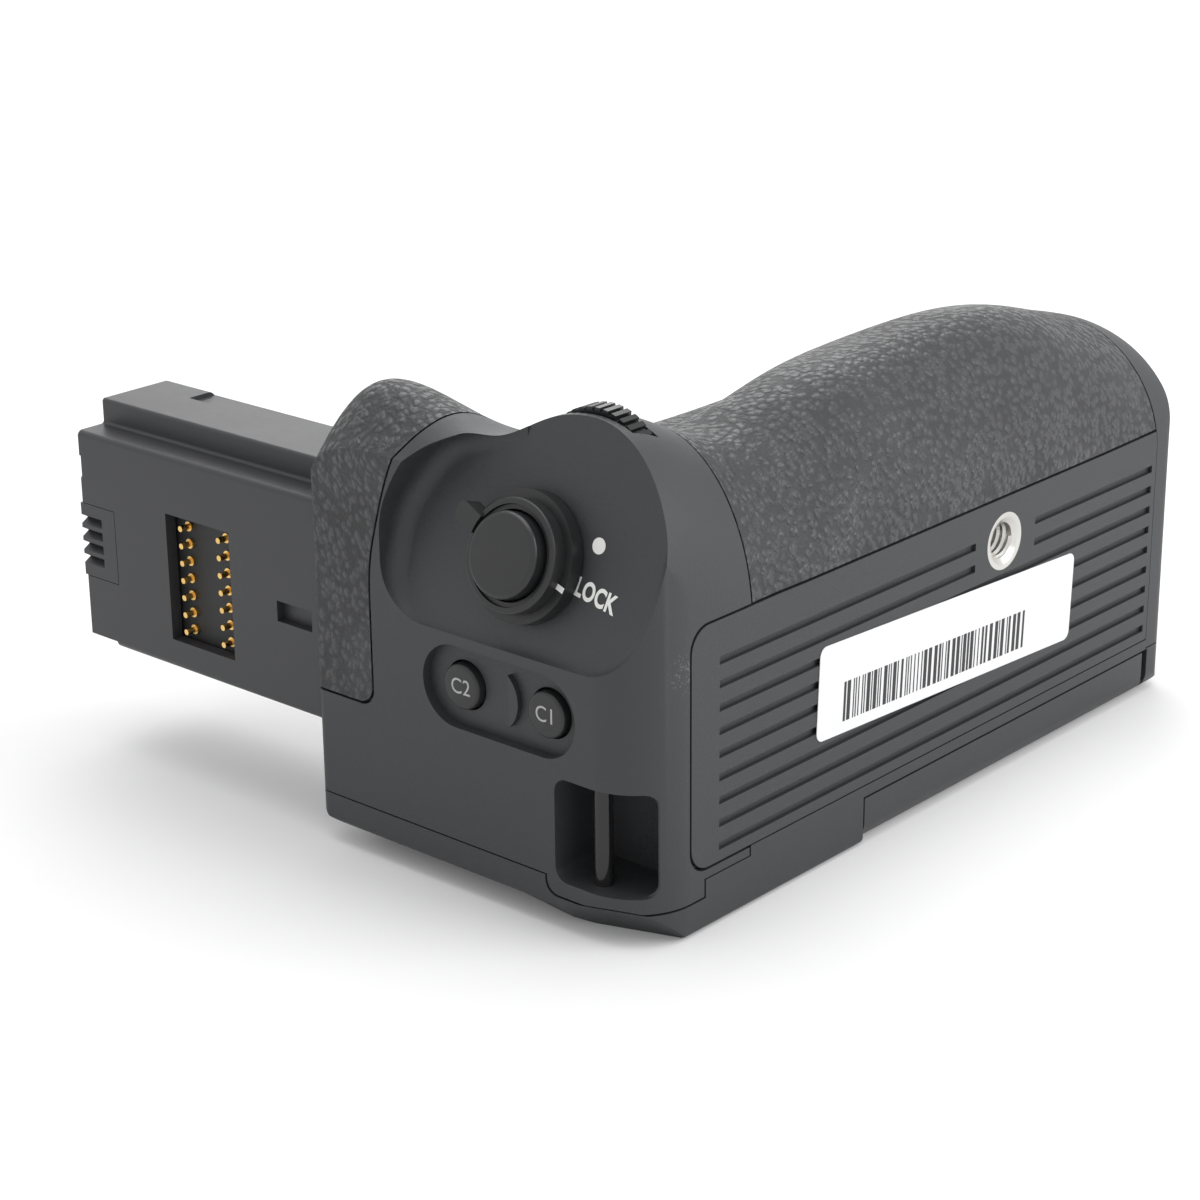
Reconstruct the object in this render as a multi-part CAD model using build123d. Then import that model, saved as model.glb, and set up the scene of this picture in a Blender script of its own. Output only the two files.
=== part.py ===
from build123d import *
import math
import os

# Vertical-shooting battery grip, modelled as it lies on its rear face.
# x runs from the shutter end to the far end, y from the tripod base to the camera side,
# z from the rear face up to the front of the hand grip.

# Overall size
body_length = 124.0
body_height = 58.6
overall_depth = 66.8
column_reach = 108.1
button_reach = 3.0

# Walls and clearances
skin = 1.0
wall = 2.2
seam = 0.3
clearance = 0.3
running_fit = 0.05
groove_width = 0.35

# Plan corners of the housing
base_end_radius = 9.0
camera_end_radius = 1.5
base_far_radius = 3.2
camera_far_radius = 4.0
far_top_radius = 6.0
far_rear_radius = 4.5
rear_edge_radius = 3.2
deck_edge_radius = 3.2
toe_chamfer = 3.6
toe_near = 8.8
toe_far = 14.6

# Housing stations: the crest line and the heights along it, and the camera side
crest_line = 14.5
hump_crest = 66.0
neck_crest = 59.9
grip_crest = 64.6
tip_crest = 55.0
tip_top = 56.5
bulge_line = 46.0
bulge_crest = 64.3
camera_depth = 46.0
camera_corner = 39.5

# Divisions of the housing
cap_length = 21.0
rear_top = 7.4
base_strip_top = 8.7
leather_edge = 42.2
far_strip_start = 118.4
deck_height = 3.1
ridge_width = 12.0
ramp_end = 21.0

# Tilted pad round the shutter button
pad_tilt = 18.0
pad_depth = 5.0
pad_level = 49.0
pad_floor = 36.2
pad_side = 45.2
pad_near_corner = 7.5
pad_base_corner = 11.0
pad_cove = 2.6
shutter_y = 22.45
shutter_z = 47.9

# Shutter button, its lock lever and collar
collar_outer = 6.5
collar_inner = 5.9
guide_radius = 3.2
guide_depth = 6.0
collar_radius = 8.6
collar_height = 2.3
lever_radius = 7.4
lever_height = 4.4
lever_tab_reach = 10.4
lever_tab_width = 2.6
cap_radius = 5.6
cap_height = 6.1
shutter_travel = 1.2
stem_radius = 2.0
stem_depth = 7.0
lever_tab_angle = -25.0
pointer_angle = 162.0
spring_radius = 3.4
spring_wire = 0.2

# Custom buttons on the end face
custom_spacing = 14.8
custom_centre_y = 24.0
custom_centre_z = 29.2
custom_radius = 3.15
custom_travel = 0.8
custom_face = 0.3
dome_height = 0.6
oval_length = 26.6
oval_height = 11.4
oval_depth = 1.5

# Strap eyelet on the base corner
strap_width = 15.0
strap_low = 7.0
strap_high = 21.4
strap_depth = 10.3
strap_wall = 1.5
strap_mouth = 4.5
strap_bar_radius = 1.3
strap_bar_x = 3.3
strap_bar_y = 9.6
lobe_low = 4.9

# Corner leather on the end face
corner_edge = 47.6
corner_low = 22.6

# Front dial in the hump
front_dial_radius = 8.8
front_dial_width = 3.0
front_dial_x = 11.9
front_dial_y = 17.6
dial_axle_radius = 1.2

# Rear dial
rear_dial_radius = 8.6
rear_dial_width = 3.6
rear_dial_x = 4.6
rear_dial_y = 37.0
rear_dial_gap = 0.5

# Rear deck controls
button_radius = 3.4
button_gap = 0.6
focus_button_x = 7.2
focus_button_y = 50.0
exposure_button_x = 18.0
exposure_button_y = 50.0
stick_x = 29.0
stick_y = 42.0
stick_radius = 4.6
stick_low = 0.55
stick_ring = 4.2
pivot_radius = 0.5
rear_board_z = 7.6
thumb_start_x = 15.0
thumb_end_x = 43.0
thumb_start_y = 2.0
thumb_end_y = 31.0

# Base plate grooves
groove_count = 9
first_groove = 36.5
groove_pitch = 3.19
rib_groove_height = 1.1
rib_groove_depth = 0.6
rib_start = 14.7
rib_end = 117.2
rib_break_start = 70.9
rib_break_end = 85.7
rib_breaks = 2
base_plate_start = 9.2
base_plate_radius = 3.4

# Tripod socket and the attachment drive above it
socket_x = 78.0
socket_z = 35.5
socket_radius = 4.2
socket_clearance_radius = 6.8
thread_hole_radius = 2.6
socket_depth = 5.5
screw_thread_radius = 3.1
screw_neck_radius = 2.7
screw_reach = 5.0
tooth_size = 1.0
dial_teeth = 28
screw_teeth = 12
gear_width = 3.0
gear_level = 51.6
axle_radius = 2.0
frame_top = 51.2
frame_thickness = 2.4
mating_level = 56.9
pad_thickness = 0.6
screw_radius = 1.0
screw_head_radius = 1.9
pin_x = 96.0
pin_z = 28.0
locating_radius = 1.5
locating_reach = 2.2

# Battery bay, tray and packs
pack_length = 45.0
pack_width = 31.8
pack_height = 18.5
tray_wall = 0.8
bay_wall = 0.8
bay_start = 53.4
bay_base = 5.6

# Battery door
door_start = 46.2
hinge_x = 116.8
door_side = 50.6
door_thickness = 2.6
door_lip_top = 6.8
door_lip_wall = 1.4
hinge_radius = 0.75
lever_x = 49.0
lever_length = 8.0
lever_travel = 4.0

# Connector column
column_x = 1.0
column_low = 16.9
column_step = 48.9
column_top = 52.6
column_ledge = 4.9
column_far = 20.6
column_wall = 1.8
column_root = 52.0
window_low = 21.4
window_high = 40.3
window_near = 76.1
window_far = 89.3
window_depth = 2.3
pin_rows = 2
pins_per_row = 7
pin_pitch = 2.58
pin_row_y = 78.7
pin_row_gap = 7.9
pin_first_z = 23.0
pin_radius = 0.42
comb_near = 100.7
comb_low = 27.0
comb_high = 38.0

# Main circuit board
board_x = 104.5
board_thickness = 1.2

# Origin: middle of the overall box, on the surface that the grip lies on
origin_x = (body_length - button_reach) / 2
origin_y = column_reach / 2


def block(x0, x1, y0, y1, z0, z1):
    """A box between two corners."""
    middle = ((x0 + x1) / 2, (y0 + y1) / 2, (z0 + z1) / 2)
    return Pos(*middle) * Box(x1 - x0, y1 - y0, z1 - z0)


def rod(start, direction, length, radius):
    """A round bar from start along direction."""
    plane = Plane(origin=start, z_dir=direction)
    return plane * Cylinder(radius, length, align=(Align.CENTER, Align.CENTER, Align.MIN))


def rod_x(x0, x1, y, z, radius):
    """A round bar along x."""
    return rod((x0, y, z), (1, 0, 0), x1 - x0, radius)


def rod_y(y0, y1, x, z, radius):
    """A round bar along y."""
    return rod((x, y0, z), (0, 1, 0), y1 - y0, radius)


def rod_z(z0, z1, x, y, radius):
    """A round bar along z."""
    return rod((x, y, z0), (0, 0, 1), z1 - z0, radius)


def prism_x(outline, x0, x1):
    """Extrude a (y, z) outline from x0 to x1."""
    return extrude(Plane.YZ.offset(x0) * outline, x1 - x0)


def prism_y(outline, y0, y1):
    """Extrude an (x, z) outline from y0 to y1."""
    face = Plane(origin=(0, y0, 0), x_dir=(1, 0, 0), z_dir=(0, -1, 0)) * outline
    return extrude(face, -(y1 - y0))


def prism_z(outline, z0, z1):
    """Extrude an (x, y) outline from z0 to z1."""
    return extrude(Plane.XY.offset(z0) * outline, z1 - z0)


def rounded(points, radii):
    """A closed face through corner points, each corner with its own radius."""
    return make_face(FilletPolyline(*points, radius=radii, close=True))


def toothed(tip, count, depth, tip_width, root_width):
    """Outline of a wheel with straight-sided teeth, one of them on the second axis."""
    root = tip - depth
    points = []
    for number in range(count):
        middle = math.radians(90 + 360 * number / count)
        corners = [(root, -root_width), (tip, -tip_width), (tip, tip_width), (root, root_width)]
        for radius, width in corners:
            angle = middle + math.asin(width / 2 / radius)
            points.append((radius * math.cos(angle), radius * math.sin(angle)))
    return make_face(Polyline(*points, close=True))


def largest(shape):
    """The biggest solid of a shape, without loose slivers."""
    return shape.solids().sort_by(SortBy.VOLUME)[-1]


# Housing form

def station(x, edge, crest, valley, shoulder, corner, inset):
    """Cross-section of the housing at x, drawn inset inside its skin."""
    crest_y, crest_z = crest
    rise = crest_z - edge - inset
    low = inset - 0.05
    side = body_height - low
    lower = EllipticalCenterArc((crest_y, edge), crest_y - low, rise, start_angle=90, arc_size=90)
    upper = Spline(
        (crest_y, crest_z - inset),
        (valley[0] - inset / 4, valley[1] - inset),
        (bulge_line - inset / 3, shoulder - inset),
        (side, corner - inset / 2),
        tangents=[(1, 0), (0, -1)],
    )
    rest = Polyline((side, corner - inset / 2), (side, -2.0), (low, -2.0), (low, edge))
    return Plane.YZ.offset(x) * make_face([lower, upper, rest])


def housing_form(inset):
    """Solid shape of the whole body, its surfaces moved in by inset."""
    hump = (17.0, hump_crest)
    far = body_length
    depth, corner = camera_depth, camera_corner
    grip = (crest_line, grip_crest)
    sections = [
        station(-1.0, 45.0, hump, (32.0, 58.8), bulge_crest - 6.6, 47.0, inset),
        station(4.0, 45.0, hump, (32.0, 61.0), bulge_crest - 1.9, 52.0, inset),
        station(10.0, 44.0, hump, (32.0, 61.0), bulge_crest, 53.5, inset),
        station(15.5, 42.0, (17.0, hump_crest - 0.7), (33.0, 59.4), bulge_crest - 2.6, 52.5, inset),
        station(cap_length, 39.5, (16.0, 62.9), (33.5, 57.6), bulge_crest - 6.3, 50.0, inset),
        station(31.0, 40.0, (15.0, neck_crest), (30.0, 55.4), bulge_crest - 11.9, 46.0, inset),
        station(41.0, 41.0, (crest_line, 61.8), (29.0, 54.6), depth + 2.8, 42.5, inset),
        station(54.0, leather_edge, (crest_line, 64.0), (30.0, 55.4), depth + 0.6, 40.5, inset),
        station(far - 54.0, leather_edge, grip, (31.0, 56.4), depth, corner, inset),
        station(far - 38.0, leather_edge, grip, (31.0, 56.4), depth, corner, inset),
        station(far - 24.0, 41.0, (15.5, 62.4), (31.0, 56.0), depth, corner, inset),
        station(far - 10.0, 39.0, (17.5, 58.4), (31.5, 54.8), depth - 0.6, corner, inset),
        station(far + 1.0, 38.0, (20.0, tip_crest), (33.0, 52.0), depth - 1.6, corner, inset),
    ]
    body = loft(sections)
    low, end = inset, far - inset
    side = body_height - inset
    radii = [base_end_radius, base_far_radius, camera_far_radius, camera_end_radius]
    plan = rounded(
        [(low, low), (end, low), (end, side), (low, side)], [max(r - inset, 0.2) for r in radii]
    )
    high = overall_depth + 10.0
    toe = toe_chamfer + inset * math.sqrt(2)
    elevation = rounded(
        [
            (low - 1.0, toe - low + 1.0),
            (toe - inset, inset),
            (end, inset),
            (end, tip_top - inset),
            (end - 60.0, high),
            (low - 1.0, high),
        ],
        [0, 1.0, far_rear_radius - inset, far_top_radius - inset, 0, 0],
    )
    body = body & prism_z(plan, -1.0, high)
    return (body & prism_y(elevation, -1.0, body_height + 1.0)) - toe_cut(inset)


def toe_cut(inset):
    """Block beyond the slanted facet under the base corner of the end face."""
    run = Vector(toe_near - toe_chamfer, -toe_far, 0).normalized()
    out = Vector(run.Y, -run.X, 0)
    normal = (out + Vector(0, 0, -1)).normalized()
    plane = Plane(origin=Vector(toe_near, 0, 0) - normal * inset, x_dir=run, z_dir=normal)
    return plane * Box(60.0, 40.0, 20.0, align=(Align.CENTER, Align.CENTER, Align.MIN))


def rear_profile(inset):
    """(y, z) outline of the housing's lower half at the control end, with ramp and deck."""
    side = body_height - inset
    level = deck_height + inset
    high = overall_depth + 5.0
    points = [
        (inset, inset),
        (ridge_width, inset),
        (ramp_end, level),
        (side, level),
        (side, high),
        (inset, high),
    ]
    return rounded(points, [1.2, 4.0, 4.0, deck_edge_radius, 0, 0])


def door_profile(inset):
    """(y, z) outline of the housing's lower half at the battery door."""
    side = body_height - inset
    high = overall_depth + 5.0
    points = [(inset, inset), (side, inset), (side, high), (inset, high)]
    return rounded(points, [rear_edge_radius - inset / 2, rear_edge_radius, 0, 0])


def body_form(inset):
    """The housing form with its rear face shaped at both ends."""
    control_end = prism_x(rear_profile(inset), -2.0, door_start)
    door_end_part = prism_x(door_profile(inset), door_start, body_length + 2.0)
    return housing_form(inset) & (control_end + door_end_part)


# Shutter axis

def pad_x(z):
    """How far the tilted pad lies behind the end face at height z."""
    return pad_depth + (z - pad_level) * math.tan(math.radians(pad_tilt))


def shutter_plane(height):
    """Plane across the shutter axis, height above the pad."""
    tilt = math.radians(pad_tilt)
    along = (-math.cos(tilt), 0, math.sin(tilt))
    origin = (pad_x(shutter_z) + along[0] * height, shutter_y, shutter_z + along[2] * height)
    return Plane(origin=origin, x_dir=(0, 1, 0), z_dir=along)


def disc(start, end, radius):
    """Round plate about the shutter axis between two heights above the pad."""
    bar = Cylinder(radius, end - start, align=(Align.CENTER, Align.CENTER, Align.MIN))
    return shutter_plane(start) * bar


def pad_outline_yz(grow):
    """(y, z) outline of the tilted pad, its camera side leaning in towards the valley."""
    g = grow
    high = overall_depth + 12.0
    outline = make_face([
        Polyline((pad_side + g, 47.0), (pad_side + g, pad_floor - g), (-0.4 - g, pad_floor - g)),
        Polyline((-0.4 - g, pad_floor - g), (-0.4 - g, high), (27.0 + g, high), (27.0 + g, 66.0)),
        Spline(
            (27.0 + g, 66.0),
            (32.5 + g, 62.4 + g / 2),
            (38.6 + g, 59.8 + g / 2),
            (43.2 + g, 54.0 + g / 3),
            (pad_side + g, 47.0),
            tangents=[(0.6, -1.0), (0.0, -1.0)],
        ),
    ])
    corners = outline.vertices().group_by(Axis.Y)[0].sort_by(Axis.X)
    outline = fillet(corners[0], pad_base_corner)
    corners = outline.vertices().group_by(Axis.Y)[0].sort_by(Axis.X)
    return fillet(corners[-1], pad_near_corner)


def pad_cutter(grow):
    """Wedge that takes out the tilted pad, or the same wedge larger all round by grow."""
    high = overall_depth + 8.0
    low = pad_floor - grow - 1.0
    wedge = Polyline(
        (-8.0, low), (pad_x(low) + grow, low), (pad_x(high) + grow, high), (-8.0, high), close=True
    )
    slab = prism_y(make_face(wedge), -10.0, body_height)
    return slab & prism_x(pad_outline_yz(grow), -8.0, 30.0)


def pad_recess():
    """Space in front of the tilted pad, coved along its floor and camera side."""
    cutter = pad_cutter(0.0)
    slope = cutter.faces().filter_by(GeomType.PLANE).sort_by(Axis.X)[-1]
    cove = [edge for edge in slope.edges() if edge.center().Z < 62.0 and edge.center().Y > 1.0]
    return fillet(cove, pad_cove)


# Shared regions

def strap_pocket():
    """Space cut through the base corner for a strap."""
    inside = block(-2.0, strap_depth, strap_wall, strap_width, strap_low, strap_high)
    inside = fillet(inside.edges().filter_by(Axis.X), 2.0)
    mouth = block(-2.0, strap_mouth, -2.0, strap_width - 3.0, strap_low, strap_high)
    return inside + fillet(mouth.edges().filter_by(Axis.Y), 1.8)


def custom_positions():
    """(y, z) centres of the two custom buttons."""
    half = custom_spacing / 2
    return [(custom_centre_y + side * half, custom_centre_z) for side in (-1, 1)]


def lobe_region(margin):
    """Block round the strap eyelet that reaches below the rest of the end cap."""
    reach = strap_depth + strap_wall + margin
    span = strap_width + strap_wall + margin
    lobe = block(-5.0, reach, -5.0, span, lobe_low - margin, rear_top + 1.0)
    edge = lobe.edges().filter_by(Axis.X).group_by(Axis.Z)[0].sort_by(Axis.Y)[-1]
    return fillet(edge, 2.0)


def cap_region():
    """Part of the housing that the end cap takes: all above the rear shell, and the eyelet lobe."""
    main = block(-5.0, cap_length, -5.0, body_height + 5.0, rear_top, overall_depth + 5.0)
    return main + lobe_region(0.0)


def corner_region(margin):
    """Area of the corner leather, in from the camera side and the front."""
    m = margin
    top = 39.0 + m
    side = corner_edge + m
    outline = make_face([
        Spline(
            (top, 64.5),
            (40.6 + m, 61.2),
            (43.6 + m, 55.5),
            (46.2 + m, 47.5),
            (side, 38.0),
            tangents=[(0.15, -1.0), (0.0, -1.0)],
        ),
        Polyline((side, 38.0), (side, corner_low + m), (90.0, corner_low + m), (90.0, 90.0)),
        Polyline((90.0, 90.0), (top, 90.0), (top, 64.5)),
    ])
    area = prism_x(outline, -5.0, cap_length - m)
    area = fillet(area.edges().filter_by(Axis.X).group_by(Axis.Z)[0].sort_by(Axis.Y)[0], 2.5)
    flat_x = 4.0 - m
    flat_y = body_height - 1.6 - m
    return area - block(flat_x, 90.0, flat_y, 90.0, 0, 51.0 + m)


def base_region(margin):
    """Area of the ribbed base plate."""
    x0 = base_plate_start - margin
    z0 = base_strip_top + 0.2 - margin
    z1 = leather_edge - 0.2 + margin
    x1 = body_length + 5.0
    outline = rounded(
        [(x0, z0), (x1, z0), (x1, z1), (x0, z1)], [base_plate_radius, 0, 0, base_plate_radius]
    )
    return prism_y(outline, -5.0, base_far_radius)


def grip_region(margin):
    """Area of the hand grip leather."""
    return block(
        cap_length + seam - margin,
        far_strip_start - seam + margin,
        -5.0,
        mating_level - seam + margin,
        leather_edge + 0.2 - margin,
        90.0,
    )


def thumb_region(margin):
    """Area of the thumb rest on the rear face."""
    m = margin
    outline = rounded(
        [
            (thumb_start_x - m, thumb_start_y - m),
            (thumb_end_x + m, thumb_start_y - m),
            (thumb_end_x + m, thumb_end_y + m),
            (thumb_start_x - m, thumb_end_y - 8.0 + m),
        ],
        5.0,
    )
    return prism_z(outline, -1.0, 6.5)


def front_dial_centre():
    """Height of the front dial's axis."""
    return overall_depth - front_dial_radius


def rear_dial_centre():
    """Height of the rear dial's axis."""
    return rear_dial_gap + rear_dial_radius


def dial_space(x, width, y, z, radius):
    """Slot round a dial."""
    return rod_x(x - clearance, x + width + clearance, y, z, radius + clearance)


def front_dial_space():
    """Slot for the front dial, open at the hump's top."""
    z = front_dial_centre()
    return dial_space(front_dial_x, front_dial_width, front_dial_y, z, front_dial_radius)


def rear_dial_space():
    """Slot for the rear dial, open at the deck."""
    z = rear_dial_centre()
    return dial_space(rear_dial_x, rear_dial_width, rear_dial_y, z, rear_dial_radius)


# End cap

def cap_supports():
    """Walls and bosses inside the end cap before its openings are cut."""
    back = block(-1.0, cap_length - 1.0, -1.0, 50.0, rear_top, overall_depth)
    pad_wall = outer & pad_cutter(wall) & back
    oval_x = oval_depth + wall
    low, high = custom_centre_z - 8.0, custom_centre_z + 8.0
    oval_back = outer & block(-1.0, oval_x, 8.0, 41.0, low, high)
    reach = strap_depth + strap_wall
    span = strap_width + strap_wall
    eyelet = outer & block(-1.0, reach, -1.0, span, lobe_low, strap_high + strap_wall)
    z = front_dial_centre()
    near = rod_x(pad_x(z) + 0.5, front_dial_x - clearance, front_dial_y, z, 2.4)
    rib_x = front_dial_x + front_dial_width + clearance
    rib = outer & block(rib_x, rib_x + 1.8, front_dial_y - 6.0, front_dial_y + 6.0, z - 3.0, overall_depth)
    z = rear_dial_centre()
    rear = rod_x(1.0, rear_dial_x - clearance, rear_dial_y, z, 2.2) & cap_region()
    return pad_wall + oval_back + eyelet + near + rib + rear


def cap_openings():
    """Everything cut from the end cap."""
    oval = Pos(custom_centre_y + 0.6, custom_centre_z) * SlotOverall(oval_length, oval_height)
    cut = pad_recess() + prism_x(oval, -1.0, oval_depth) + strap_pocket()
    cut = cut + front_dial_space() + rear_dial_space()
    for y, z in custom_positions():
        cut = cut + rod_x(-1.0, oval_depth + wall + 1.0, y, z, custom_radius + clearance)
    cut = cut + disc(-12.0, 1.0, guide_radius + clearance)
    for z0, z1 in ((strap_low - 1.2, strap_low + 0.5), (strap_high - 0.5, strap_high + 1.2)):
        cut = cut + rod_z(z0, z1, strap_bar_x, strap_bar_y, strap_bar_radius)
    z = front_dial_centre()
    cut = cut + rod_x(pad_x(z) + 1.6, front_dial_x + 5.2, front_dial_y, z, dial_axle_radius)
    z = rear_dial_centre()
    cut = cut + rod_x(1.2, rear_dial_x, rear_dial_y, z, dial_axle_radius)
    wires = block(6.0, 16.0, body_height - 4.0, body_height + 1.0, column_low + 5.0, column_step - 5.0)
    return cut + wires


def end_cap():
    """Smooth moulded cap at the shutter end, with pad, oval, dial slot and eyelet."""
    region = cap_region()
    body = ((outer & region) - inner) + cap_supports() - cap_openings()
    ridge = Pos(custom_centre_y - 1.2, custom_centre_z) * make_face([
        ThreePointArc((0.6, 3.6), (-1.1, 0), (0.6, -3.6)),
        Line((0.6, -3.6), (0.6, 3.6)),
    ])
    body = body + prism_x(ridge, 0.7, oval_depth + 0.2)
    body = body - (corner_region(-groove_width) - under_skin)
    body = body - (base_region(groove_width) - under_skin)
    return largest(body & region)


def skin_piece(region, wider):
    """Layer over the housing inside a region, one skin thick, cut about the final origin."""
    layer = (to_origin * outer) & (to_origin * region)
    layer = layer - ((to_origin * skin_core) & (to_origin * wider))
    return Pos(origin_x, origin_y, 0) * layer


def corner_leather():
    """Leather over the corner between the end face, the front and the camera side."""
    return largest(skin_piece(corner_region(0.0), corner_region(-1.0)) - pad_cutter(groove_width))


def hand_grip_leather():
    """Leather over the front of the hand grip."""
    return largest(skin_piece(grip_region(0.0), grip_region(1.0)))


def thumb_leather():
    """Leather thumb rest on the rear face."""
    return largest(skin_piece(thumb_region(0.0), thumb_region(1.0)))


# Shells

def drive_posts(start, end, radius):
    """Four posts between the drive frame and the camera-side wall."""
    posts = []
    for x in (socket_x - 17.6, socket_x + 17.6):
        for z in (socket_z - 26.0, socket_z + 2.5):
            posts.append(rod_y(start, end, x, z, radius))
    return posts


def board_posts():
    """Posts from the far end wall to the circuit board."""
    shape = None
    for y, z in ((12.0, 14.0), (38.0, 14.0), (12.0, 36.0), (38.0, 36.0)):
        post = rod_x(board_x + board_thickness, body_length - 2.0, y, z, 2.0)
        shape = post if shape is None else shape + post
    return shape & under_skin


def screw_positions():
    """(x, z) places of the housing screws in the camera-side plate."""
    return [(x, z) for x in (28.0, body_length - 12.0) for z in (13.0, 34.0)]


def front_shell():
    """Hidden core under the leathers and the base plate."""
    x0 = cap_length + seam
    zone = block(x0, body_length, -1.0, mating_level - 0.1, rear_top, 90.0)
    body = ((under_skin - deep) & zone) + board_posts()
    for x, z in screw_positions():
        body = body + rod_y(mating_level - 6.0, mating_level - 0.5, x, z, 2.2)
        body = body - rod_y(mating_level - 5.0, mating_level + 1.0, x, z, screw_radius)
    for post in drive_posts(frame_top, mating_level - 0.6, 1.8):
        body = body + post
    body = body - block(x0 - 1.0, far_strip_start + 1.5, -1.0, 4.7, rear_top - 1.0, base_strip_top + 0.3)
    body = body - rod_y(0.0, 5.0, socket_x, socket_z, socket_clearance_radius)
    body = body - rod_y(50.0, 60.0, socket_x, socket_z, screw_neck_radius + running_fit)
    gear_radius = tooth_size * (screw_teeth / 2 + 0.9) + clearance
    level = gear_level - clearance
    body = body - rod_y(level, level + gear_width + 2 * clearance, socket_x, socket_z, gear_radius)
    z = drive_centre()
    body = body - rod_y(50.0, 60.0, socket_x, z, axle_radius + running_fit)
    return largest(body)


def rear_posts():
    """Posts under the rear control board."""
    x = (focus_button_x + exposure_button_x) / 2
    shape = rod_z(deck_height + 1.0, rear_board_z, x, 48.4, 1.1)
    return shape + rod_z(deck_height + 1.0, rear_board_z, x, 53.6, 1.1)


def door_recess():
    """Space that the closed door takes."""
    x0, x1 = door_start - clearance, door_end() + 0.8
    flat = block(x0, x1, -5.0, door_side + clearance, -1.0, door_thickness + clearance)
    return flat + block(x0, x1, -5.0, door_lip_wall + clearance, -1.0, door_lip_top + clearance)


def hinge_lugs(grow, radius_cut):
    """Lugs that hold the door's hinge pin, or the notches round them."""
    x, z = hinge_x, door_thickness / 2
    shape = None
    for y in (11.5, door_side - 11.5):
        lug = block(x - 1.1 - grow, x + 1.1 + grow, y - 1.5 - grow, y + 1.5 + grow, 0.15 - grow, 4.0)
        shape = lug if shape is None else shape + lug
    if radius_cut:
        shape = shape - rod_y(0, body_height, x, z, hinge_radius)
    return shape


def rear_shell():
    """Rear half of the housing: control deck, battery opening and door recess."""
    x0 = cap_length + seam
    shell = (outer - inner) & block(-5.0, 200.0, -5.0, 90.0, -5.0, rear_top - 0.2)
    plate = outer & block(door_start - 1.4, body_length - 3.0, -1.0, 90.0, -1.0, 5.0)
    bx0, bx1, by0, by1 = bay_outer()
    ring = block(bx0 - 0.6, bx1 + 0.6, by0 - 0.6, by1 + 0.6, 4.0, rear_top - 0.2)
    behind_lip = block(door_start - 1.4, far_strip_start, door_lip_wall, 4.4, 3.0, rear_top - 0.2)
    strip = (outer - deep) & block(x0, far_strip_start, -1.0, 4.4, rear_top - 0.4, base_strip_top)
    rib_x = rear_dial_x + rear_dial_width + clearance
    rib = block(rib_x, rib_x + 1.8, rear_dial_y - 6.0, rear_dial_y + 6.0, deck_height + 1.0, 13.0)
    body = shell + plate + ring + (behind_lip & outer) + strip + rib + rear_posts()
    ix0, ix1, iy0, iy1 = bay_inner()
    body = body - block(ix0, ix1, iy0, iy1, -1.0, rear_top + 1.0)
    body = body - door_recess() + hinge_lugs(0.0, True)
    body = body - lobe_region(seam)
    body = body - rear_dial_space()
    body = body - rod_x(rib_x - 1.0, rib_x + 4.0, rear_dial_y, rear_dial_centre(), dial_axle_radius)
    for x, y in deck_buttons():
        body = body - rod_z(-1.0, 7.0, x, y, button_radius + clearance)
    body = body - rod_z(-1.0, 4.1, stick_x, stick_y, stick_radius + 1.6)
    body = body - rod_z(-1.0, 7.0, stick_x, stick_y, 2.9)
    body = body - (thumb_region(groove_width) - under_skin)
    body = body - attachment_space()
    return largest(body)


def deck_buttons():
    """(x, y) places of the two buttons on the rear deck."""
    return [(focus_button_x, focus_button_y), (exposure_button_x, exposure_button_y)]


def end_strip():
    """Plain cover round the far end."""
    region = block(far_strip_start, 200.0, -5.0, mating_level - seam, rear_top, 90.0)
    wider = block(far_strip_start - 1.0, 200.0, -5.0, mating_level + 1.0, rear_top - 1.0, 90.0)
    return largest(skin_piece(region, wider))


def base_shell():
    """Ribbed base plate."""
    near = block(-5.0, far_strip_start - 0.1, -5.0, 30.0, 0.0, 90.0)
    body = skin_piece(base_region(0.0) & near, base_region(1.0))
    for number in range(groove_count):
        z = first_groove - number * groove_pitch
        low, high = z - rib_groove_height / 2, z + rib_groove_height / 2
        if number < rib_breaks:
            body = body - block(rib_start, rib_break_start, -1.0, rib_groove_depth, low, high)
            body = body - block(rib_break_end, rib_end, -1.0, rib_groove_depth, low, high)
        else:
            body = body - block(rib_start, rib_end, -1.0, rib_groove_depth, low, high)
    body = body - rod_y(-1.0, 5.0, socket_x, socket_z, socket_radius)
    return largest(body)


def mating_plate():
    """Plate on the camera side, with a recess for its pad."""
    zone = block(cap_length + seam, 200.0, mating_level, 90.0, rear_top, 90.0)
    body = outer & zone
    body = body - prism_y(pad_outline(), body_height - pad_thickness, 90.0)
    body = body - rod_y(50.0, 60.0, socket_x, socket_z, screw_thread_radius + 0.6)
    body = body - rod_y(50.0, 60.0, pin_x, pin_z, locating_radius - 0.4)
    for x, z in screw_positions():
        body = body - rod_y(50.0, 60.0, x, z, screw_radius + 0.1)
        body = body - rod_y(body_height - 1.4, 60.0, x, z, screw_head_radius)
    return largest(body)


def pad_outline():
    """(x, z) outline of the rubber pad on the camera side."""
    return rounded([(36.0, 13.0), (106.0, 13.0), (106.0, 38.4), (36.0, 38.4)], 4.0)


def mating_pad():
    """Rubber pad that the camera rests on."""
    body = prism_y(pad_outline(), body_height - pad_thickness, body_height)
    body = body - rod_y(50.0, 60.0, socket_x, socket_z, screw_thread_radius + 2.5)
    return body - rod_y(50.0, 60.0, pin_x, pin_z, locating_radius + 2.5)


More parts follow.
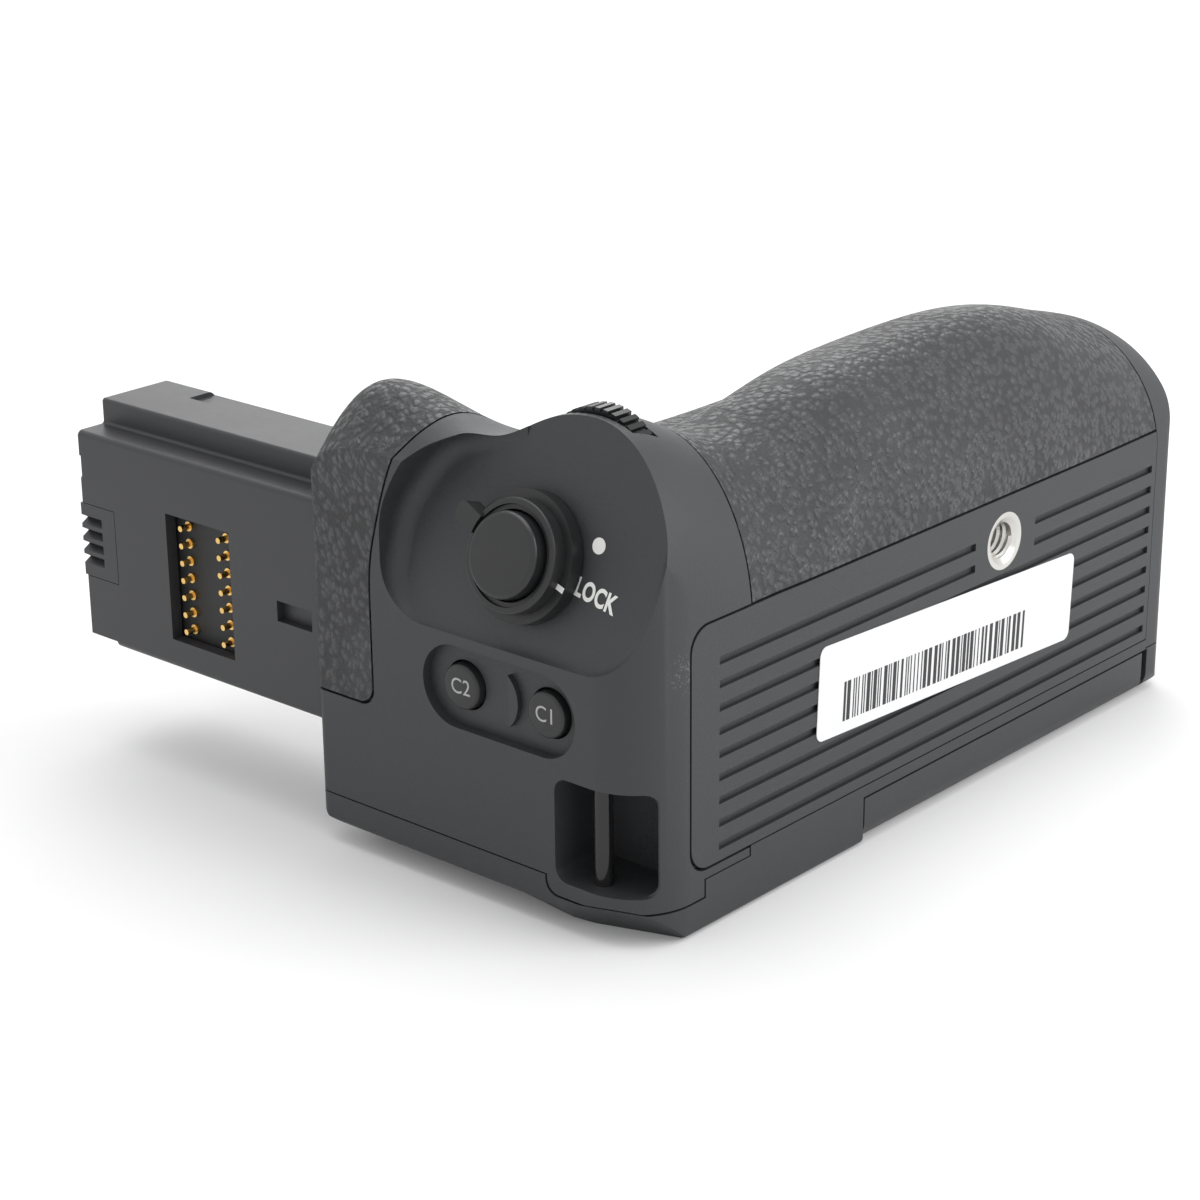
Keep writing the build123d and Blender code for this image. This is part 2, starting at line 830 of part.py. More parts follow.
def housing_screws():
    """Screws that hold the camera-side plate, each with a cross slot."""
    screws = []
    for x, z in screw_positions():
        head_top = body_height - 0.3
        body = rod_y(mating_level - 4.5, head_top, x, z, screw_radius)
        body = body + rod_y(body_height - 1.4, head_top, x, z, screw_head_radius)
        cross = block(x - 1.1, x + 1.1, head_top - 0.7, 60.0, z - 0.25, z + 0.25)
        cross = cross + block(x - 0.25, x + 0.25, head_top - 0.7, 60.0, z - 1.1, z + 1.1)
        screws.append(body - cross)
    return Compound(children=screws)


def locating_pin():
    """Pin that stops the grip turning on the camera."""
    body = rod_y(body_height, body_height + locating_reach, pin_x, pin_z, locating_radius)
    body = chamfer(body.edges().sort_by(Axis.Y)[-1], 0.4)
    return body + rod_y(mating_level, body_height, pin_x, pin_z, locating_radius - 0.4)


# Attachment drive and tripod socket

def drive_centre():
    """Height of the attachment dial's axis above the rear face."""
    return socket_z - tooth_size * (dial_teeth + screw_teeth) / 2


def gear(teeth, x, z, turned):
    """Toothed wheel about y at (x, z)."""
    pitch_radius = tooth_size * teeth / 2
    outline = toothed(pitch_radius + 0.9 * tooth_size, teeth, 2.15 * tooth_size, 0.8, 2.0)
    outline = Pos(x, z) * Rot(0, 0, turned) * outline
    return prism_y(outline, gear_level, gear_level + gear_width)


def attachment_dial():
    """Thumb wheel that turns the attachment screw."""
    z = drive_centre()
    body = gear(dial_teeth, socket_x, z, 0.0)
    return body + rod_y(frame_top - 1.6, mating_level - 0.5, socket_x, z, axle_radius)


def attachment_screw():
    """Toothed screw that holds the grip to the camera."""
    body = gear(screw_teeth, socket_x, socket_z, 180.0 / screw_teeth)
    body = body + rod_y(frame_top - 1.6, gear_level, socket_x, socket_z, axle_radius)
    start = body_height + 0.2
    neck = rod_y(gear_level, start, socket_x, socket_z, screw_neck_radius)
    shaft = rod_y(start, body_height + screw_reach + 0.2, socket_x, socket_z, screw_thread_radius)
    return body + neck + chamfer(shaft.edges().sort_by(Axis.Y)[-1], 0.6)


def attachment_space():
    """Slot and finger scoop round the attachment dial."""
    z = drive_centre()
    radius = tooth_size * dial_teeth / 2 + tooth_size + clearance
    slot = rod_y(gear_level - clearance, gear_level + gear_width + clearance, socket_x, z, radius)
    scoop = rod_y(gear_level - clearance, body_height + 1.0, socket_x, -22.0, 25.2)
    return slot + scoop


def drive_frame():
    """Plate that carries the inner ends of the dial and the screw."""
    outline = rounded(
        [
            (socket_x - 20.0, socket_z - 28.0),
            (socket_x + 20.0, socket_z - 28.0),
            (socket_x + 20.0, socket_z + 5.0),
            (socket_x - 20.0, socket_z + 5.0),
        ],
        3.0,
    )
    body = prism_y(outline, frame_top - frame_thickness, frame_top)
    for z in (drive_centre(), socket_z):
        body = body - rod_y(40.0, 60.0, socket_x, z, axle_radius + running_fit)
    return body


def tripod_socket():
    """Metal insert with the tripod thread."""
    body = rod_y(0.0, socket_depth, socket_x, socket_z, socket_radius)
    outline = rounded(
        [
            (socket_x - 11.0, socket_z - 8.0),
            (socket_x + 11.0, socket_z - 8.0),
            (socket_x + 11.0, socket_z + 8.0),
            (socket_x - 11.0, socket_z + 8.0),
        ],
        2.0,
    )
    body = body + prism_y(outline, 3.2, socket_depth)
    body = body - rod_y(-1.0, socket_depth - 0.4, socket_x, socket_z, thread_hole_radius)
    cone = Plane(origin=(socket_x, 0, socket_z), x_dir=(1, 0, 0), z_dir=(0, 1, 0)) * Cone(
        thread_hole_radius + 1.0, thread_hole_radius, 0.6, align=(Align.CENTER, Align.CENTER, Align.MIN)
    )
    return body - cone


# Battery bay

def pack_box():
    """Corners of the two stacked packs, from the bay's start."""
    x0 = bay_start + bay_wall + clearance + tray_wall + 0.2
    y0 = bay_base + bay_wall + clearance + tray_wall + 0.2
    return x0, x0 + pack_length, y0, y0 + pack_width


def tray_box():
    """Outer x and y limits of the tray."""
    x0, x1, y0, y1 = pack_box()
    edge = tray_wall + 0.2
    return x0 - edge, x1 + edge, y0 - edge, y1 + edge


def bay_inner():
    """Inner x and y limits of the bay."""
    x0, x1, y0, y1 = tray_box()
    return x0 - clearance, x1 + clearance, y0 - clearance, y1 + clearance


def bay_outer():
    """Outer x and y limits of the bay."""
    x0, x1, y0, y1 = bay_inner()
    return x0 - bay_wall, x1 + bay_wall, y0 - bay_wall, y1 + bay_wall


def tray_floor():
    """Height of the tray's lower face."""
    return door_thickness + clearance + 0.1


def pack_levels():
    """Lower faces of the two packs."""
    first = tray_floor() + 1.2
    return [first, first + pack_height + 0.2]


def bay_top():
    """Inner height of the bay."""
    return pack_levels()[-1] + pack_height + clearance


def contact_places():
    """(y, z) places of the bay's spring contacts, four for each pack."""
    x0, x1, y0, y1 = pack_box()
    middle = y0 + 12.0
    return [(middle + 3.0 * n, z + 12.0) for z in pack_levels() for n in range(4)]


def battery_bay():
    """Box that the loaded tray slides into."""
    x0, x1, y0, y1 = bay_outer()
    top = bay_top() + bay_wall
    body = block(x0, x1, y0, y1, rear_top - 0.2, top)
    x2, x3, y2, y3 = bay_inner()
    body = body - block(x2, x3, y2, y3, 0.0, bay_top())
    for y, z in contact_places():
        body = body - block(x3 - 0.5, x1 + 0.5, y - 0.8, y + 0.8, z - 2.3, z + 2.3)
    return body


def bay_contacts():
    """Spring contacts between the packs and the circuit board."""
    x0, x1, y0, y1 = pack_box()
    blades = []
    for y, z in contact_places():
        blade = block(x1 + clearance, board_x, y - 0.5, y + 0.5, z - 0.4, z + 0.4)
        tip = block(x1 + clearance, x1 + clearance + 0.6, y - 0.5, y + 0.5, z - 2.0, z + 0.4)
        blades.append(blade + tip)
    return Compound(children=blades)


def battery_tray():
    """Open tray that carries both packs."""
    x0, x1, y0, y1 = tray_box()
    low = tray_floor()
    high = pack_levels()[-1] + pack_height - 0.5
    body = block(x0, x1, y0, y1, low, high)
    x2, x3, y2, y3 = x0 + tray_wall, x1 - tray_wall, y0 + tray_wall, y1 - tray_wall
    body = body - block(x2, x3, y2, y3, low + 1.0, high + 1.0)
    windows = block(x2 + 6.0, x3 - 6.0, y0 - 1.0, y1 + 1.0, low + 6.0, high - 6.0)
    body = body - windows
    y = contact_places()[0][0]
    return body - block(x3 - 1.0, x1 + 1.0, y - 2.0, y + 11.0, low + 9.5, high + 1.0)


def battery_pack(level):
    """Rechargeable pack with a contact recess at its far end."""
    x0, x1, y0, y1 = pack_box()
    body = block(x0, x1, y0, y1, level, level + pack_height)
    body = fillet(body.edges().filter_by(Axis.X), 2.5)
    body = fillet(body.edges().group_by(Axis.X)[0], 0.8)
    for y, z in contact_places():
        if level < z < level + pack_height:
            body = body - block(x1 - 0.8, x1 + 1.0, y - 0.9, y + 0.9, z - 3.0, z + 3.0)
    return body


def circuit_board():
    """Main circuit board at the far end of the bay."""
    board = block(board_x, board_x + board_thickness, 8.0, 42.0, 10.0, 40.0)
    return fillet(board.edges().filter_by(Axis.X), 2.0)


def board_components():
    """Parts soldered to the main circuit board."""
    x0 = board_x + board_thickness
    coil = rod_x(x0, x0 + 4.0, 19.0, 28.0, 4.0)
    chip = block(x0, x0 + 1.2, 25.0, 34.0, 17.0, 26.0)
    socket = block(x0, x0 + 4.5, 17.0, 33.0, 34.0, 39.0)
    storage = rod_x(x0, x0 + 7.0, 20.0, 18.0, 3.0)
    return Compound(children=[coil, chip, socket, storage])


# Battery door

def door_end():
    """Far end of the door, rounded about its hinge."""
    return hinge_x + door_thickness / 2


def battery_door():
    """Door over the battery opening, with a lip along the base edge."""
    x1 = door_end()
    zone = block(door_start, x1, -5.0, door_side, -1.0, door_thickness)
    zone = fillet(zone.edges().filter_by(Axis.Y).group_by(Axis.X)[-1], door_thickness / 2 - 0.01)
    lip = block(door_start, x1 - 0.6, -5.0, door_lip_wall, 0.5, door_lip_top)
    body = outer & (zone + lip)
    body = body - hinge_lugs(clearance + 0.1, False)
    body = body - block(hinge_x - 1.6, x1 + 1.0, 9.6, 13.4, -1.0, 3.0)
    body = body - block(hinge_x - 1.6, x1 + 1.0, door_side - 13.4, door_side - 9.6, -1.0, 3.0)
    body = body - rod_y(1.5, body_height, hinge_x, door_thickness / 2, hinge_radius + running_fit)
    slot = block(lever_x - 0.3, lever_x + lever_length + lever_travel + 0.3, 19.7, 31.3, -1.0, 1.7)
    body = body - slot
    keep = block(lever_x + 2.6, lever_x + 5.4 + lever_travel, 23.2, 27.8, 0.0, 4.0)
    return largest(body - keep)


def door_lever():
    """Sliding catch set flush in the door."""
    body = block(lever_x, lever_x + lever_length, 20.0, 31.0, 0.35, 1.4)
    for number in range(4):
        x = lever_x + 1.6 + number * 1.4
        body = body - block(x, x + 0.6, 21.5, 29.5, 0.0, 0.6)
    return body + block(lever_x + 3.0, lever_x + 5.0, 23.5, 27.5, 1.4, door_thickness)


def door_hinge_pin():
    """Pin that the door swings on."""
    return rod_y(1.9, door_side - 1.0, hinge_x, door_thickness / 2, hinge_radius)


# Shutter button

def shutter_collar():
    """Fixed collar that guides the shutter button and its lock lever."""
    body = disc(0.0, lever_height - 0.4, collar_outer) - disc(1.0, lever_height, collar_inner)
    body = body + disc(-guide_depth, 1.0, guide_radius)
    return body - disc(-guide_depth - 1.0, 2.0, stem_radius + running_fit)


def shutter_button():
    """Two-stage shutter button on its stem."""
    cap = disc(3.0, cap_height, cap_radius)
    cap = fillet(cap.edges().sort_by(Axis.X)[:1], 0.7)
    return cap + disc(-stem_depth, 3.2, stem_radius)


def shutter_spring():
    """Return spring under the shutter button."""
    coil = Helix(pitch=0.8, height=1.6, radius=spring_radius)
    start = coil @ 0
    profile = Plane(origin=start, z_dir=coil % 0) * Circle(spring_wire)
    return shutter_plane(1.05 + spring_wire) * sweep(profile, path=coil)


def shutter_switch():
    """Switch cup on the end of the shutter guide."""
    back = stem_depth + shutter_travel + clearance
    return disc(-back - 2.5, -guide_depth + 2.0, guide_radius + 1.2) - disc(
        -back, 0.0, guide_radius
    )


def lock_lever():
    """Lever ring round the shutter button, with its tab and pointer bar."""
    body = disc(clearance, collar_height, collar_radius) + disc(collar_height - 0.1, lever_height, lever_radius)
    body = fillet(body.edges().filter_by(GeomType.CIRCLE).sort_by(Axis.X)[:1], 0.3)
    tab = Pos(lever_tab_reach / 2, 0, 0) * Box(
        lever_tab_reach, lever_tab_width, lever_height - collar_height + 0.6,
        align=(Align.CENTER, Align.CENTER, Align.MIN),
    )
    tab = fillet(tab.edges().filter_by(Axis.Z).group_by(Axis.X)[-1], 0.9)
    body = body + shutter_plane(collar_height) * Rot(0, 0, lever_tab_angle) * tab
    bar = Pos((lever_radius + collar_radius) / 2, 0, 0) * Box(
        collar_radius - lever_radius, 0.7, 0.25, align=(Align.CENTER, Align.CENTER, Align.MIN)
    )
    body = body + shutter_plane(collar_height - 0.05) * Rot(0, 0, pointer_angle) * bar
    return body - disc(0.0, lever_height + 2.0, collar_outer + running_fit)


# Small controls

def custom_button(index):
    """Round button on the end face, captured behind the wall by a flange."""
    y, z = custom_positions()[index]
    back = oval_depth + wall
    body = rod_x(custom_face, back + 0.5, y, z, custom_radius)
    body = fillet(body.edges().sort_by(Axis.X)[0], 0.5)
    return body + rod_x(back + 0.2, back + 0.8, y, z, custom_radius + 0.9)


def deck_button(index):
    """Domed button on the rear deck, captured by a flange."""
    x, y = deck_buttons()[index]
    inside = deck_height + wall
    body = rod_z(button_gap, inside + 0.5, x, y, button_radius)
    body = fillet(body.edges().sort_by(Axis.Z)[0], 1.0)
    return body + rod_z(inside + 0.2, inside + 0.8, x, y, button_radius + 0.6)


def button_board():
    """Circuit board behind the custom buttons."""
    x = oval_depth + wall + 0.8 + custom_travel + clearance + dome_height
    y0, y1 = custom_centre_y - 15.0, custom_centre_y + 15.0
    posts = None
    for y in (y0 + 1.5, y1 - 1.5):
        post = rod_x(oval_depth + wall, x, y, custom_centre_z, 1.2)
        posts = post if posts is None else posts + post
    return block(x, x + 1.0, y0, y1, custom_centre_z - 5.4, custom_centre_z + 5.0) + posts


def rear_board():
    """Circuit board above the rear deck buttons."""
    return block(4.2, cap_length - 0.1, 46.8, 54.8, rear_board_z, rear_board_z + 1.0)


def button_domes():
    """Switch domes under the four buttons."""
    domes = []
    x = oval_depth + wall + 0.8 + custom_travel + clearance
    for y, z in custom_positions():
        domes.append(rod_x(x, x + dome_height, y, z, 2.2))
    for px, py in deck_buttons():
        domes.append(rod_z(rear_board_z - dome_height, rear_board_z, px, py, 2.2))
    return Compound(children=domes)


def front_dial():
    """Coarse-ribbed dial in the hump."""
    outline = toothed(front_dial_radius, 40, 0.55, 0.75, 0.95)
    plane = Plane(origin=(front_dial_x, front_dial_y, front_dial_centre()), x_dir=(0, 1, 0), z_dir=(1, 0, 0))
    body = extrude(plane * outline, front_dial_width)
    x0, x1 = front_dial_x - 1.0, front_dial_x + front_dial_width + 1.0
    return body - rod_x(x0, x1, front_dial_y, front_dial_centre(), dial_axle_radius + running_fit)


def rear_dial():
    """Fine-knurled dial at the rear deck."""
    outline = toothed(rear_dial_radius, 54, 0.4, 0.45, 0.75)
    plane = Plane(origin=(rear_dial_x, rear_dial_y, rear_dial_centre()), x_dir=(0, 1, 0), z_dir=(1, 0, 0))
    body = extrude(plane * outline, rear_dial_width)
    x0, x1 = rear_dial_x - 1.0, rear_dial_x + rear_dial_width + 1.0
    return body - rod_x(x0, x1, rear_dial_y, rear_dial_centre(), dial_axle_radius + running_fit)


def dial_axles():
    """Axles of the front and rear dials."""
    z = front_dial_centre()
    front_end = front_dial_x + front_dial_width + clearance + 1.6
    front = rod_x(pad_x(z) + 1.7, front_end, front_dial_y, z, dial_axle_radius)
    rear_end = rear_dial_x + rear_dial_width + clearance + 1.8
    rear = rod_x(1.3, rear_end, rear_dial_y, rear_dial_centre(), dial_axle_radius)
    return Compound(children=[front, rear])


def strap_bar():
    """Round bar across the strap eyelet."""
    return rod_z(strap_low - 1.2, strap_high + 1.2, strap_bar_x, strap_bar_y, strap_bar_radius)


# Thumb stick

def stick_level():
    """Height of the thumb stick's pivots."""
    return deck_height + wall + 2.0


def joystick_housing():
    """Frame inside the deck that carries the gimbal."""
    z0 = deck_height + wall
    size = stick_ring + 2.4
    body = block(stick_x - size, stick_x + size, stick_y - size, stick_y + size, z0, z0 + 4.6)
    body = body - rod_z(z0 - 1.0, z0 + 6.0, stick_x, stick_y, stick_ring + 0.4)
    return body - rod_x(stick_x - size - 1.0, stick_x + size + 1.0, stick_y, stick_level(), pivot_hole())


def pivot_hole():
    """Radius of the holes that the gimbal pins turn in."""
    return pivot_radius + running_fit


def joystick_gimbal():
    """Ring that tilts about x and carries the stem."""
    z = stick_level()
    body = rod_z(z - 1.2, z + 1.2, stick_x, stick_y, stick_ring) - rod_z(
        z - 2.0, z + 2.0, stick_x, stick_y, stick_ring - 1.4
    )
    reach = stick_ring + 1.8
    pins = rod_x(stick_x + stick_ring - 0.7, stick_x + reach, stick_y, z, pivot_radius)
    pins = pins + rod_x(stick_x - reach, stick_x - stick_ring + 0.7, stick_y, z, pivot_radius)
    return body + pins - rod_y(stick_y - 8.0, stick_y + 8.0, stick_x, z, pivot_hole())


def joystick_stem():
    """Stem that tilts about y in the gimbal."""
    z = stick_level()
    body = rod_z(stick_low + 1.8, z + 2.0, stick_x, stick_y, 1.2)
    return body + rod_y(stick_y - stick_ring + 0.1, stick_y + stick_ring - 0.1, stick_x, z, pivot_radius)


def joystick_cap():
    """Thumb cap that presses along the stem, with a cross of grip ridges."""
    body = rod_z(stick_low, stick_low + 1.9, stick_x, stick_y, stick_radius)
    body = fillet(body.edges(), 0.4)
    body = body + rod_z(stick_low + 1.0, stick_low + 3.1, stick_x, stick_y, 2.0)
    for angle in (0, 90):
        groove = Pos(stick_x, stick_y, stick_low) * Rot(0, 0, angle) * Box(6.0, 0.6, 0.6)
        body = body - groove
    return body - rod_z(stick_low + 1.2, stick_low + 5.0, stick_x, stick_y, 1.2 + running_fit)


# Connector column

def column_outline(inset):
    """(x, z) outline of the column."""
    x0, x1 = column_x + inset, column_far - inset
    z0 = column_low + inset
    step, top = column_step - inset, column_top - inset
    ledge = column_x + column_ledge + inset
    return rounded(
        [(x0, z0), (x1, z0), (x1, top - 2.4), (x1 - 2.4, top), (ledge, top), (ledge, step), (x0, step)],
        [1.2, 2.0, 1.0, 1.0, 0.5, 0.5, 0.8],
    )


def contact_positions():
    """(y, z) places of the column's contact pins."""
    places = []
    for row in range(pin_rows):
        for number in range(pins_per_row):
            places.append((pin_row_y + row * pin_row_gap, pin_first_z + number * pin_pitch))
    return places


def column_shell():
    """Hollow column that goes into the camera's battery chamber."""
    body = prism_y(column_outline(0.0), column_root, column_reach)
    tip = body.faces().sort_by(Axis.Y)[-1]
    body = chamfer(tip.edges(), 0.5)
    body = body - prism_y(column_outline(column_wall), column_root - 1.0, column_reach - 8.0)
    body = body - block(0.0, column_x + column_wall + 1.0, window_near, window_far, window_low, window_high)
    frame = block(column_x + window_depth, 8.0, window_near - 1.2, window_far + 1.2, 20.0, 42.0)
    body = body - block(0.0, 4.2, comb_near - 0.1, 120.0, comb_low - 0.1, comb_high + 0.1)
    body = body - block(0.0, column_x + 1.3, 59.9, 66.8, 29.6, 32.6)
    body = body - block(14.0, 30.0, 50.0, 98.0, column_top - 0.6, 60.0)
    body = body - block(0.0, 30.0, 107.3, 110.0, 41.8, 45.2)
    body = body - block(0.0, 30.0, 101.9, 110.0, 10.0, column_low + 1.0)
    body = body - block(column_far - 1.0, 30.0, 61.0, 104.0, 21.0, 46.0)
    body = body - frame
    return largest(body - outer)


def column_cover():
    """Cover over the far side of the column."""
    return block(column_far - 1.0, column_far, 61.2, 103.8, 21.2, 45.8)


def column_contact_block():
    """Moulded block behind the column's contact window."""
    x0 = column_x + window_depth
    body = block(x0, x0 + 2.6, window_near - 1.0, window_far + 1.0, 20.2, 41.8)
    for y, z in contact_positions():
        body = body - rod_x(x0 - 1.0, x0 + 4.0, y, z, pin_radius)
    return body


def column_contacts():
    """Contact pins of the column."""
    pins = []
    x0 = column_x + window_depth
    for y, z in contact_positions():
        pin = rod_x(column_x + 0.3, x0 + 3.4, y, z, pin_radius)
        pins.append(pin + rod_x(x0 - 0.5, x0, y, z, pin_radius * 1.7))
    return Compound(children=pins)


def column_end_insert():
    """Comb at the tip of the column."""
    body = block(column_x, 4.2, comb_near, column_reach, comb_low, comb_high)
    pitch = (comb_high - comb_low) / 5.5
    for number in range(4):
        z = comb_low + pitch * (number + 1.25)
        notch = make_face(Polyline(
            (column_x - 0.1, z - 0.75), (column_x + 1.1, z), (column_x - 0.1, z + 0.75), close=True
        ))
        body = body - prism_y(notch, column_reach - 4.5, column_reach + 1.0)
    return body


to_origin = Pos(-origin_x, -origin_y, 0)
outer = body_form(0.0)
under_skin = body_form(skin + 0.2)
inner = body_form(wall)
deep = body_form(wall + 1.0)
skin_core = body_form(skin)

nodes = {
    "end_cap": end_cap,
    "corner_leather": corner_leather,
    "hand_grip_leather": hand_grip_leather,
    "thumb_leather": thumb_leather,
    "front_shell": front_shell,
    "rear_shell": rear_shell,
    "base_shell": base_shell,
    "end_strip": end_strip,
    "mating_plate": mating_plate,
    "mating_pad": mating_pad,
    "housing_screws": housing_screws,
    "locating_pin": locating_pin,
    "tripod_socket": tripod_socket,
    "drive_frame": drive_frame,
    "attachment_dial": attachment_dial,
    "attachment_screw": attachment_screw,
    "battery_bay": battery_bay,
    "bay_contacts": bay_contacts,
    "battery_tray": battery_tray,
    "circuit_board": circuit_board,
    "board_components": board_components,
    "battery_door": battery_door,
    "door_lever": door_lever,
    "door_hinge_pin": door_hinge_pin,
    "shutter_collar": shutter_collar,
    "shutter_button": shutter_button,
    "shutter_spring": shutter_spring,
    "shutter_switch": shutter_switch,
    "lock_lever": lock_lever,
    "button_board": button_board,
    "rear_board": rear_board,
    "button_domes": button_domes,
    "front_dial": front_dial,
    "rear_dial": rear_dial,
    "dial_axles": dial_axles,
    "strap_bar": strap_bar,
    "joystick_housing": joystick_housing,
    "joystick_gimbal": joystick_gimbal,
    "joystick_stem": joystick_stem,
    "joystick_cap": joystick_cap,
    "column_shell": column_shell,
    "column_cover": column_cover,
    "column_contact_block": column_contact_block,
    "column_contacts": column_contacts,
    "column_end_insert": column_end_insert,
}


if __name__ == "__main__":
    os.makedirs("parts", exist_ok=True)
    shapes = {name: build() for name, build in nodes.items()}
    for index, name in enumerate(("custom_button_one", "custom_button_two")):
        shapes[name] = custom_button(index)
    for index, name in enumerate(("focus_button", "exposure_button")):
        shapes[name] = deck_button(index)
    for name, level in zip(("battery_pack_lower", "battery_pack_upper"), pack_levels()):
        shapes[name] = battery_pack(level)
    for name, shape in shapes.items():
        export_step(to_origin * shape, f"parts/{name}.step")
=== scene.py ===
"""Looks of a vertical-shooting camera battery grip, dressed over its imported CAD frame."""

import logging
import math
import random
from dataclasses import dataclass, field
from enum import Enum

import bmesh
import bpy
from mathutils import Matrix, Vector


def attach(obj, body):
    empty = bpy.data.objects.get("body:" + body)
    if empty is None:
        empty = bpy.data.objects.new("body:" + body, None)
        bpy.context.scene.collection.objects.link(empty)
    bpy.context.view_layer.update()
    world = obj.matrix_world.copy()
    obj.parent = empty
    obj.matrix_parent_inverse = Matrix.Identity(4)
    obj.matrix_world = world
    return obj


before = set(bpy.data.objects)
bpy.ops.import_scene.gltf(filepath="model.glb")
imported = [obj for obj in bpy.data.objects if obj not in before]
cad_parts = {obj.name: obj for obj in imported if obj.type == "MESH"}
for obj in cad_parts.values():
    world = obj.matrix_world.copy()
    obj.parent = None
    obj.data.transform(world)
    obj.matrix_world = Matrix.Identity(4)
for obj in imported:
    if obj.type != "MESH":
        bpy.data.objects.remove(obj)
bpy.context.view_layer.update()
MM = 0.001
# Row frame's origin from the end face and the base, in millimetres
ORIGIN_X, ORIGIN_Y = 60.5, 54.05
# Distance in metres below which a node's vertices are one
WELD_REACH = 0.000002
# Half the thickness of printed letters in metres
INK_DEPTH = 0.00001
LOG = logging.getLogger("battery_grip")
# Places worn by handling: distance from end face, base and rear, and reach, in millimetres
WORN = ((3.5, 13.5, 2.2, 5.0), (8.4, 0.4, 37.0, 4.0), (4.5, 5.8, 62.8, 3.0))

Colour = tuple[float, float, float]


def place(x: float, y: float, z: float) -> Vector:
    """Point of the row frame for millimetres measured from the end face, base and rear face.

    Args:
        x: Distance from the end face.
        y: Distance from the base.
        z: Height above the rear face.

    Returns:
        The point in metres.
    """
    return Vector((x - ORIGIN_X, y - ORIGIN_Y, z)) * MM


class Body(Enum):
    """CAD bodies that pieces ride on."""

    HOUSING = "housing"
    LEVER = "lock_lever"
    BUTTON_ONE = "custom_one"
    BUTTON_TWO = "custom_two"
    SCREW = "attachment_screw"


class Slot(Enum):
    """Names of material slots."""

    PLASTIC = "housing_plastic"
    GLOSS = "gloss_plastic"
    METAL = "socket_metal"


# Shader expressions


class Wire:
    """A shader socket or number that works in arithmetic."""

    def __init__(self, graph: "Graph", value: "bpy.types.NodeSocket | float") -> None:
        """Keep the graph and the socket or number."""
        self.graph = graph
        self.value = value

    def _math(self, operation: str, *others: "Wire | float") -> "Wire":
        """Add a Math node.

        Args:
            operation: Name of the Math operation.
            others: The other operands.

        Returns:
            The node's result.
        """
        inputs = {0: self.value}
        for index, other in enumerate(others, start=1):
            inputs[index] = other.value if isinstance(other, Wire) else other
        return self.graph.add("ShaderNodeMath", {"operation": operation}, inputs)

    def __add__(self, other: "Wire | float") -> "Wire":
        """Sum of both."""
        return self._math("ADD", other)

    def __mul__(self, other: "Wire | float") -> "Wire":
        """Product of both."""
        return self._math("MULTIPLY", other)

    def __sub__(self, other: "Wire | float") -> "Wire":
        """This less the other."""
        return self._math("SUBTRACT", other)

    def __rsub__(self, other: float) -> "Wire":
        """The other less this."""
        return Wire(self.graph, other)._math("SUBTRACT", self)

    def highest(self, other: "Wire | float") -> "Wire":
        """The larger of both."""
        return self._math("MAXIMUM", other)

    def ramp(self, low: float, high: float) -> "Wire":
        """Smooth step from 0 at low to 1 at high.

        Args:
            low: Value that gives 0.
            high: Value that gives 1.

        Returns:
            The stepped value.
        """
        settings = {"interpolation_type": "SMOOTHSTEP"}
        return self.graph.add("ShaderNodeMapRange", settings, {0: self.value, 1: low, 2: high})


